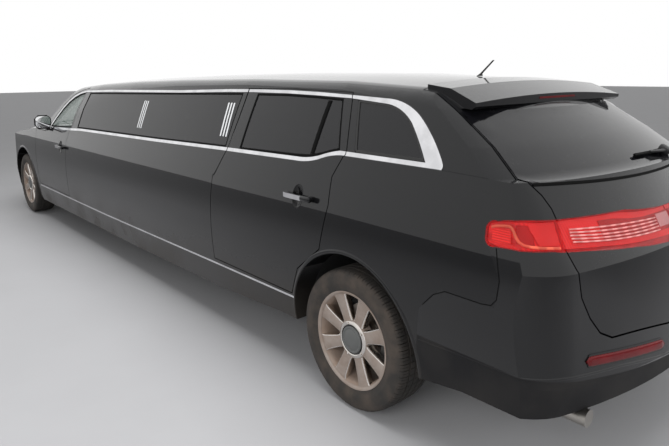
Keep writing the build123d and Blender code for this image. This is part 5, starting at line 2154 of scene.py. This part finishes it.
@dataclass(frozen=True)
class Cushion:
    """One stuffed block with a crowned top, pulled-in sides, stitched channels and piping."""

    width: float
    depth: float
    height: float
    channels: int = 0
    crown: float = 0.022
    edge: float = 0.030
    groove: float = 0.012
    stitch: float = 0.007
    pull_in: float = 0.035
    fold: float = 0.0022

    def mesh(self) -> Mesh:
        """Build it over the middle of its base, its top towards +Z and its channels along Y.

        Returns:
            The cushion.
        """
        half_x, half_y = self.width / 2, self.depth / 2
        seams = [self.width * (i / self.channels - 0.5) for i in range(1, self.channels)]
        xs, ys = self._stops(half_x, seams), self._stops(half_y, [])
        points, rows, columns = [], len(ys), len(xs)
        for y in ys:
            for x in xs:
                points.append(self._top(x, y, half_x, half_y, seams))
        faces = [(j * columns + i, j * columns + i + 1, (j + 1) * columns + i + 1, (j + 1) * columns + i)
                 for j in range(rows - 1) for i in range(columns - 1)]
        rim = rim_of(rows, columns)
        ring = rim
        for k in range(1, 6):
            share = k / 5
            scale = 1.0 + 0.014 * math.sin(math.pi * share) - self.pull_in * share ** 3
            start = len(points)
            for index in rim:
                top = points[index]
                points.append(Vector((top.x * scale, top.y * scale, top.z * (1 - share))))
            lower = list(range(start, start + len(rim)))
            faces.extend((ring[b], ring[a], lower[a], lower[b])
                         for a, b in zip(range(len(rim)), list(range(1, len(rim))) + [0]))
            ring = lower
        faces.append(tuple(reversed(ring)))
        mesh = Mesh().add(points, faces)
        piping = [points[i] for i in rim]
        normals = [Vector((p.x / half_x, p.y / half_y, 0.8)).normalized() for p in piping]
        cord = oval(0.0035, 0.0035, count=6)
        return mesh.join(sweep(piping, normals, cord, Shape.CLOSED), None, 1)

    def _stops(self, half: float, seams: Sequence[float]) -> list[float]:
        """Places of the grid's lines: close by the edges and the seams, wider between.

        Args:
            half: Half of the cushion's side.
            seams: Places of the channels.

        Returns:
            The places, in order.
        """
        places = {s * (half - away) for s in (-1, 1) for away in (0.0, 0.003, 0.009, 0.018, 0.030)}
        for seam in seams:
            places |= {seam + away for away in (-0.018, -0.010, -0.005, 0.0, 0.005, 0.010, 0.018)}
        count = max(2, round(2 * half / 0.04))
        fill = [half * (2 * i / count - 1) for i in range(1, count)]
        places |= {f for f in fill if min(abs(f - p) for p in places) > 0.012}
        return sorted(places)

    def _top(self, x: float, y: float, half_x: float, half_y: float, seams: Sequence[float]) -> Vector:
        """One point of the top, squared off like a stuffed cover.

        Args:
            x: Place across the cushion.
            y: Place along its channels.
            half_x: Half of its width.
            half_y: Half of its depth.
            seams: Places of the channels.

        Returns:
            The point.
        """
        u, v = x / half_x, y / half_y
        drop = 0.0
        for away in (half_x - abs(x), half_y - abs(y)):
            near = max(0.0, 1.0 - away / self.edge)
            drop += self.edge * (1.0 - math.sqrt(max(0.0, 1.0 - near ** 2)))
        swell = self.crown * (1 - u ** 2) ** 0.7 * (1 - v ** 2) ** 0.7 if abs(u) < 1 and abs(v) < 1 else 0.0
        pull = sum(self.groove * math.exp(-((x - seam) / self.stitch) ** 2) for seam in seams)
        pull *= max(0.0, 1 - abs(v) ** 6)
        fold = self.fold * noise.noise(Vector((x * 9.0, y * 9.0, self.width * 31.0)))
        return Vector((x * (1 - self.pull_in * v * v), y * (1 - self.pull_in * u * u),
                       self.height + swell - pull + fold - min(drop, 1.2 * self.edge)))


@dataclass
class Cabin(Fitting):
    """Padded seats and benches, the driver's place, door cards, carpet, headliner and the bar."""

    lean: float = 16.0
    seat_y: float = 0.38
    bench_pitch: float = 0.435
    rows: int = 24
    fixtures: tuple[tuple[Place, Place], ...] = (
        ((0.20, 0.36, 0.075), (-0.985, 0.38, 1.075)), ((0.050, 0.27, 0.19), (-1.035, 0.0, 0.985)),
        ((0.52, 0.22, 0.30), (-1.280, 0.0, 0.490)), ((0.10, 0.10, 0.050), (-1.21, 0.0, 0.66)),
        ((0.030, 0.05, 0.12), (-1.17, 0.0, 0.70)))
    vents: tuple[float, ...] = (-0.70, -0.22, 0.22, 0.70)
    bar_x: float = 2.60
    glasses: int = 6
    bucket: tuple[Pair, ...] = (
        (0.0, 0.0), (0.0, 0.065), (0.15, 0.085), (0.15, 0.079), (0.006, 0.060), (0.006, 0.0))
    glass: tuple[Pair, ...] = (
        (0.0, 0.0), (0.0, 0.026), (0.003, 0.026), (0.006, 0.005), (0.060, 0.004), (0.080, 0.026),
        (0.150, 0.030), (0.150, 0.0285), (0.082, 0.0245), (0.070, 0.0))

    def build(self) -> None:
        """Furnish the car."""
        for side in Side:
            self._front_seat(side)
            self._door_cards(side)
        self._rear_bench()
        self._side_bench()
        self._dashboard()
        self._bar()
        self._linings()
        LOG.info("furnished the cabin")

    def _padded(self, mesh: Mesh, name: str, node: str, fill: float = 0.75) -> None:
        """Args:
            mesh: Its shape.
            name: Name of the piece.
            node: The CAD node that it stands in for.
            fill: Share of its box that it fills; not used.
        """
        made = self.make(mesh, name, "seat_leather seat_piping", "chassis", "seat_leather", 50.0)
        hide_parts(node)

    def _upright(self, x: float, y: float, z: float) -> Matrix:
        """Matrix for a back cushion: its top faces ahead and leans, its depth runs up."""
        return at(x, y, z, QUARTER_TURN - self.lean, "Y") @ at(0, 0, 0, QUARTER_TURN)

    def _front_seat(self, side: Side) -> None:
        """One front seat: base, cushion, back, bolsters and headrest on chrome posts.

        Args:
            side: Side of the car.
        """
        x, y = ahead(-1.640), side.value * self.seat_y
        seat = Mesh().join(Cushion(0.36, 0.46, 0.125, 4).mesh(), at(x + 0.275, y, 0.452, QUARTER_TURN))
        back = Mesh().join(Cushion(0.34, 0.58, 0.110, 4).mesh(), self._upright(x - 0.065, y, 0.865))
        for way in (-1, 1):
            seat.join(Cushion(0.075, 0.44, 0.155, 0, 0.015).mesh(),
                      at(x + 0.280, y + way * 0.205, 0.450, QUARTER_TURN))
            back.join(Cushion(0.080, 0.52, 0.145, 0, 0.015).mesh(),
                      self._upright(x - 0.055, y + way * 0.200, 0.845))
        head = Mesh().join(Cushion(0.27, 0.175, 0.095, 0, 0.020).mesh(), self._upright(x - 0.160, y, 1.262))
        self._padded(seat, f"front_seat_cushion_{side.word}", "front_seats")
        self._padded(back, f"front_seat_back_{side.word}", "front_seats")
        self._padded(head, f"front_headrest_{side.word}", "front_seats", 0.9)
        base = Mesh().box((0.44, 0.42, 0.11), 0.02, at(x + 0.25, y, 0.392))
        base.box((0.055, 0.40, 0.60), 0.025, at(x - 0.105, y, 0.830, -self.lean, "Y"))
        post = lathe([(-0.06, 0.006), (0.06, 0.006)], 12, False)
        for way in (-1, 1):
            base.join(post, at(x - 0.172, y + way * 0.06, 1.165, QUARTER_TURN, "X"), 1)
        self.make(base, f"front_seat_frame_{side.word}", "cabin_plastic bright_trim", "chassis",
                  "cabin_plastic")

    def _rear_bench(self) -> None:
        """Bench behind the rear doors: three cushions, three backs and headrests on a plinth."""
        x = behind(0.760)
        seat, back, heads = Mesh(), Mesh(), Mesh()
        for number in (-1, 0, 1):
            y = self.bench_pitch * number
            seat.join(Cushion(0.425, 0.47, 0.140, 4).mesh(), at(x + 0.250, y, 0.450, QUARTER_TURN))
            back.join(Cushion(0.425, 0.54, 0.120, 4).mesh(), self._upright(x - 0.060, y, 0.850))
            heads.join(Cushion(0.26, 0.16, 0.085, 0, 0.020).mesh(), self._upright(x - 0.150, y, 1.215))
        self._padded(seat, "rear_bench_cushions", "lounge_seats")
        self._padded(back, "rear_bench_backs", "lounge_seats")
        self._padded(heads, "rear_bench_headrests", "lounge_seats", 0.9)
        frame = Mesh().box((0.48, 1.12, 0.060), 0.015, at(x + 0.24, 0, 0.430))
        frame.box((0.05, 1.28, 0.56), 0.02, at(x - 0.100, 0, 0.800, -self.lean, "Y"))
        self.make(frame, "rear_bench_frame", "cabin_plastic", "chassis", "cabin_plastic")

    def _side_bench(self) -> None:
        """Long bench along the right side: three cushions and three tufted backs on a plinth."""
        seat, back = Mesh(), Mesh()
        for number in range(3):
            x = behind(1.50 + 0.334 + 0.667 * number)
            seat.join(Cushion(0.655, 0.47, 0.150, 6).mesh(), at(x, -0.575, 0.472))
            back.join(Cushion(0.655, 0.42, 0.110, 6).mesh(), at(x, -0.812, 0.850, -78.0, "X"))
        self._padded(seat, "side_bench_cushions", "lounge_seats")
        self._padded(back, "side_bench_backs", "lounge_seats")
        plinth = Mesh().box((2.0, 0.44, 0.135), 0.012, at(behind(2.5), -0.58, 0.400))
        self.make(plinth, "side_bench_plinth", "cabinet_veneer", "chassis", "cabinet_wood")

    def _dashboard(self) -> None:
        """Binnacle hood, centre screen, vents, wheel pad and console."""
        dark, face = Mesh(), Mesh()
        for size, (x, y, z) in self.fixtures:
            dark.box(size, 0.012, at(ahead(x), y, z))
        dark.box((0.040, 0.135, 0.115), 0.018, at(ahead(-1.135), self.seat_y, 0.992, 25.0, "Y"))
        self.make(dark, "dashboard_parts", "cabin_plastic", "chassis", "cabin_plastic")
        face.box((0.006, 0.20, 0.115), 0.0025, at(ahead(-1.0605), 0, 1.020))
        for y in self.vents:
            face.box((0.012, 0.085, 0.052), 0.004, at(ahead(-1.028), y, 1.000))
        self.make(face, "dashboard_faces", "gloss_black", "chassis", "cabin_plastic")

    def _door_cards(self, side: Side) -> None:
        """Lining, padded armrest and pull of each door.

        Args:
            side: Side of the car.
        """
        for end, low, high in (("front", ahead(-1.58), ahead(-0.72)), ("rear", behind(0.50), behind(1.22))):
            middle, length = (low + high) / 2, high - low
            card = Mesh().box((length, 0.014, 0.44), 0.006, at(middle, side.value * 0.862, 0.745))
            card.box((length * 0.5, 0.030, 0.10), 0.012, at(middle, side.value * 0.845, 0.595))
            body = f"{end}_{side.word}_door"
            self.make(card, f"door_card_{end}_{side.word}", "cabin_plastic", body, "cabin_plastic")
            rest = Cushion(length * 0.55, 0.075, 0.045, 0, 0.008, 0.015).mesh()
            arm = Mesh().join(rest, at(middle, side.value * 0.822, 0.760))
            made = self.make(arm, f"armrest_{end}_{side.word}", "seat_leather seat_piping", body,
                             "seat_leather", 50.0)

    def _bar(self) -> None:
        """Worktop, bottle rail, ice bucket and glasses on the cabinet."""
        top = Mesh().box((1.80, 0.26, 0.016), 0.006, at(behind(self.bar_x), 0.680, 0.909))
        self.make(top, "bar_top", "gloss_black", "chassis", "cabinet_wood")
        rail = lathe([(-0.88, 0.006), (0.88, 0.006)], 12, False)
        bright = Mesh().join(rail, at(behind(self.bar_x), 0.570, 0.960, QUARTER_TURN))
        post = lathe([(-0.022, 0.005), (0.022, 0.005)], 10, False)
        for number in range(5):
            bright.join(post, at(behind(1.76 + 0.42 * number), 0.570, 0.939, QUARTER_TURN, "X"))
        bucket = lathe(self.bucket, 32, False)
        bright.join(bucket, at(behind(3.20), 0.69, 0.918, QUARTER_TURN, "X"))
        self.make(bright, "bar_metal", "bright_trim", "chassis", "bright_trim")
        glasses = Mesh()
        cup = lathe(self.glass, 24, False)
        for number in range(self.glasses):
            glasses.join(cup, at(behind(1.90 + 0.17 * number), 0.70, 0.918, QUARTER_TURN, "X"))
        self.make(glasses, "bar_glasses", "clear_glass", "chassis", "clear_glass")

    def _linings(self) -> None:
        """Carpet on the floor and cloth under the roof."""
        low, high = behind(1.52), ahead(-0.80)
        floor = Mesh().box((high - low, 1.60, 0.012), 0.004, at((low + high) / 2, 0.0, 0.3360))
        self.make(floor, "floor_carpet", "floor_carpet", "chassis", "cabin_plastic")
        roof = Skin(self.nodes, ("roof",))
        rear, front = behind(-0.10), ahead(-1.70)
        grid = []
        for k in range(self.rows):
            x = rear + (front - rear) * k / (self.rows - 1)
            row = [roof.hit(Vector((x, -0.57 + 1.14 * j / 12, 1.30)), Vector((0, 0, 1))) for j in range(13)]
            if all(hit is not None for hit in row):
                grid.append(row)
        self.make(sheet_of(grid, 0.006, 0.004), "headliner", "headliner_cloth", "chassis", "cabin_plastic")


@dataclass
class Studio:
    """Camera set as the photograph was taken, a pale floor, soft lights and a white surround."""

    place: Place = (-5.0242, 2.8432, 1.7170)
    yaw: float = -40.549
    pitch: float = -10.151
    roll: float = -0.5286
    lens: float = 32.101
    shift: Pair = (0.00158, -0.06621)
    ambient: float = 0.55
    floor_tone: Colour = (0.36, 0.36, 0.37)
    floor_half: float = 60.0
    sensor: float = 36.0
    aim: Place = (-1.0, 0.0, 0.6)
    lights: tuple[tuple[str, Place, Pair, float], ...] = (
        ("over", (-1.0, 0.6, 5.0), (9.0, 4.0), 420.0),
        ("beside", (-4.5, 5.5, 2.6), (5.0, 2.5), 190.0),
        ("behind", (-8.0, -0.8, 2.4), (3.5, 2.2), 120.0))

    def build(self) -> None:
        """Set up camera, world, lights and floor."""
        self._camera()
        self._world()
        self._lights()
        self._floor()
        scene = bpy.context.scene
        scene.view_settings.view_transform = "Standard"
        LOG.info("set up the studio")

    def _camera(self) -> None:
        """Camera from its measured place and angles."""
        yaw, pitch, roll = (math.radians(a) for a in (self.yaw, self.pitch, self.roll))
        ahead_way = Vector((math.cos(pitch) * math.cos(yaw), math.cos(pitch) * math.sin(yaw),
                            math.sin(pitch)))
        level = Vector((math.sin(yaw), -math.cos(yaw), 0.0))
        upright = level.cross(ahead_way)
        right = level * math.cos(roll) + upright * math.sin(roll)
        up = upright * math.cos(roll) - level * math.sin(roll)
        data = bpy.data.cameras.new("camera")
        data.sensor_width = self.sensor
        data.lens = self.lens
        data.shift_x, data.shift_y = self.shift
        camera = bpy.data.objects.new("camera", data)
        turned = Matrix((right, up, -ahead_way)).transposed().to_4x4()
        camera.matrix_world = Matrix.Translation(self.place) @ turned
        bpy.context.scene.collection.objects.link(camera)
        bpy.context.scene.camera = camera

    def _world(self) -> None:
        """White to the camera, in reflections and through glass, softer as light."""
        world = bpy.data.worlds.new("surround")
        world.use_nodes = True
        tree = world.node_tree
        tree.nodes.clear()
        path = tree.nodes.new("ShaderNodeLightPath")
        ray = path.outputs["Is Camera Ray"]
        for name in ("Is Glossy Ray", "Is Transmission Ray"):
            most = tree.nodes.new("ShaderNodeMath")
            most.operation = "MAXIMUM"
            tree.links.new(ray, most.inputs[0])
            tree.links.new(path.outputs[name], most.inputs[1])
            ray = most.outputs[0]
        light = tree.nodes.new("ShaderNodeBackground")
        light.inputs["Strength"].default_value = self.ambient
        white = tree.nodes.new("ShaderNodeBackground")
        white.inputs["Color"].default_value = (1.0, 1.0, 1.0, 1.0)
        mix = tree.nodes.new("ShaderNodeMixShader")
        tree.links.new(ray, mix.inputs[0])
        tree.links.new(light.outputs[0], mix.inputs[1])
        tree.links.new(white.outputs[0], mix.inputs[2])
        output = tree.nodes.new("ShaderNodeOutputWorld")
        tree.links.new(mix.outputs[0], output.inputs[0])
        bpy.context.scene.world = world

    def _lights(self) -> None:
        """Three broad soft lights: over the roof, beside the car and behind it."""
        for name, place, size, power in self.lights:
            data = bpy.data.lights.new(name, "AREA")
            data.shape = "RECTANGLE"
            data.size, data.size_y = size
            data.energy = power
            light = bpy.data.objects.new(name, data)
            light.visible_glossy = False
            way = Vector(self.aim) - Vector(place)
            light.location = place
            light.rotation_euler = way.to_track_quat("-Z", "Y").to_euler()
            bpy.context.scene.collection.objects.link(light)

    def _floor(self) -> None:
        """Large matt floor with a faint unevenness."""
        graph = Graph("studio_floor")
        soft = graph.noise(1.5).step(0.3, 0.7)
        tone = graph.blend(soft, self.floor_tone, shade(self.floor_tone, 0.97))
        material = graph.dress(Base_Color=tone, Roughness=0.7)
        data = bpy.data.meshes.new("floor")
        far = self.floor_half
        data.from_pydata([(-far, -far, 0), (far, -far, 0), (far, far, 0), (-far, far, 0)], [], [(0, 1, 2, 3)])
        data.materials.append(material)
        floor = bpy.data.objects.new("floor", data)
        bpy.context.scene.collection.objects.link(floor)


def main() -> None:
    """Load the frame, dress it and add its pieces."""
    logging.basicConfig(level=logging.INFO, format="%(message)s")
    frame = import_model()
    nodes = frame["nodes"]
    finishes = Finishes()
    Studio().build()
    Shell(nodes, finishes).dress()
    Wheels(nodes, finishes).build()
    TailLamps(nodes, finishes).build()
    RearBumperTrim(nodes, finishes).build()
    SideWindows(nodes, finishes).build()
    DoorFittings(nodes, finishes).build()
    TailgateFittings(nodes, finishes).build()
    BodySeams(nodes, finishes).build()
    FrontDetails(nodes, finishes).build()
    Cabin(nodes, finishes).build()


if __name__ == "__main__":
    main()
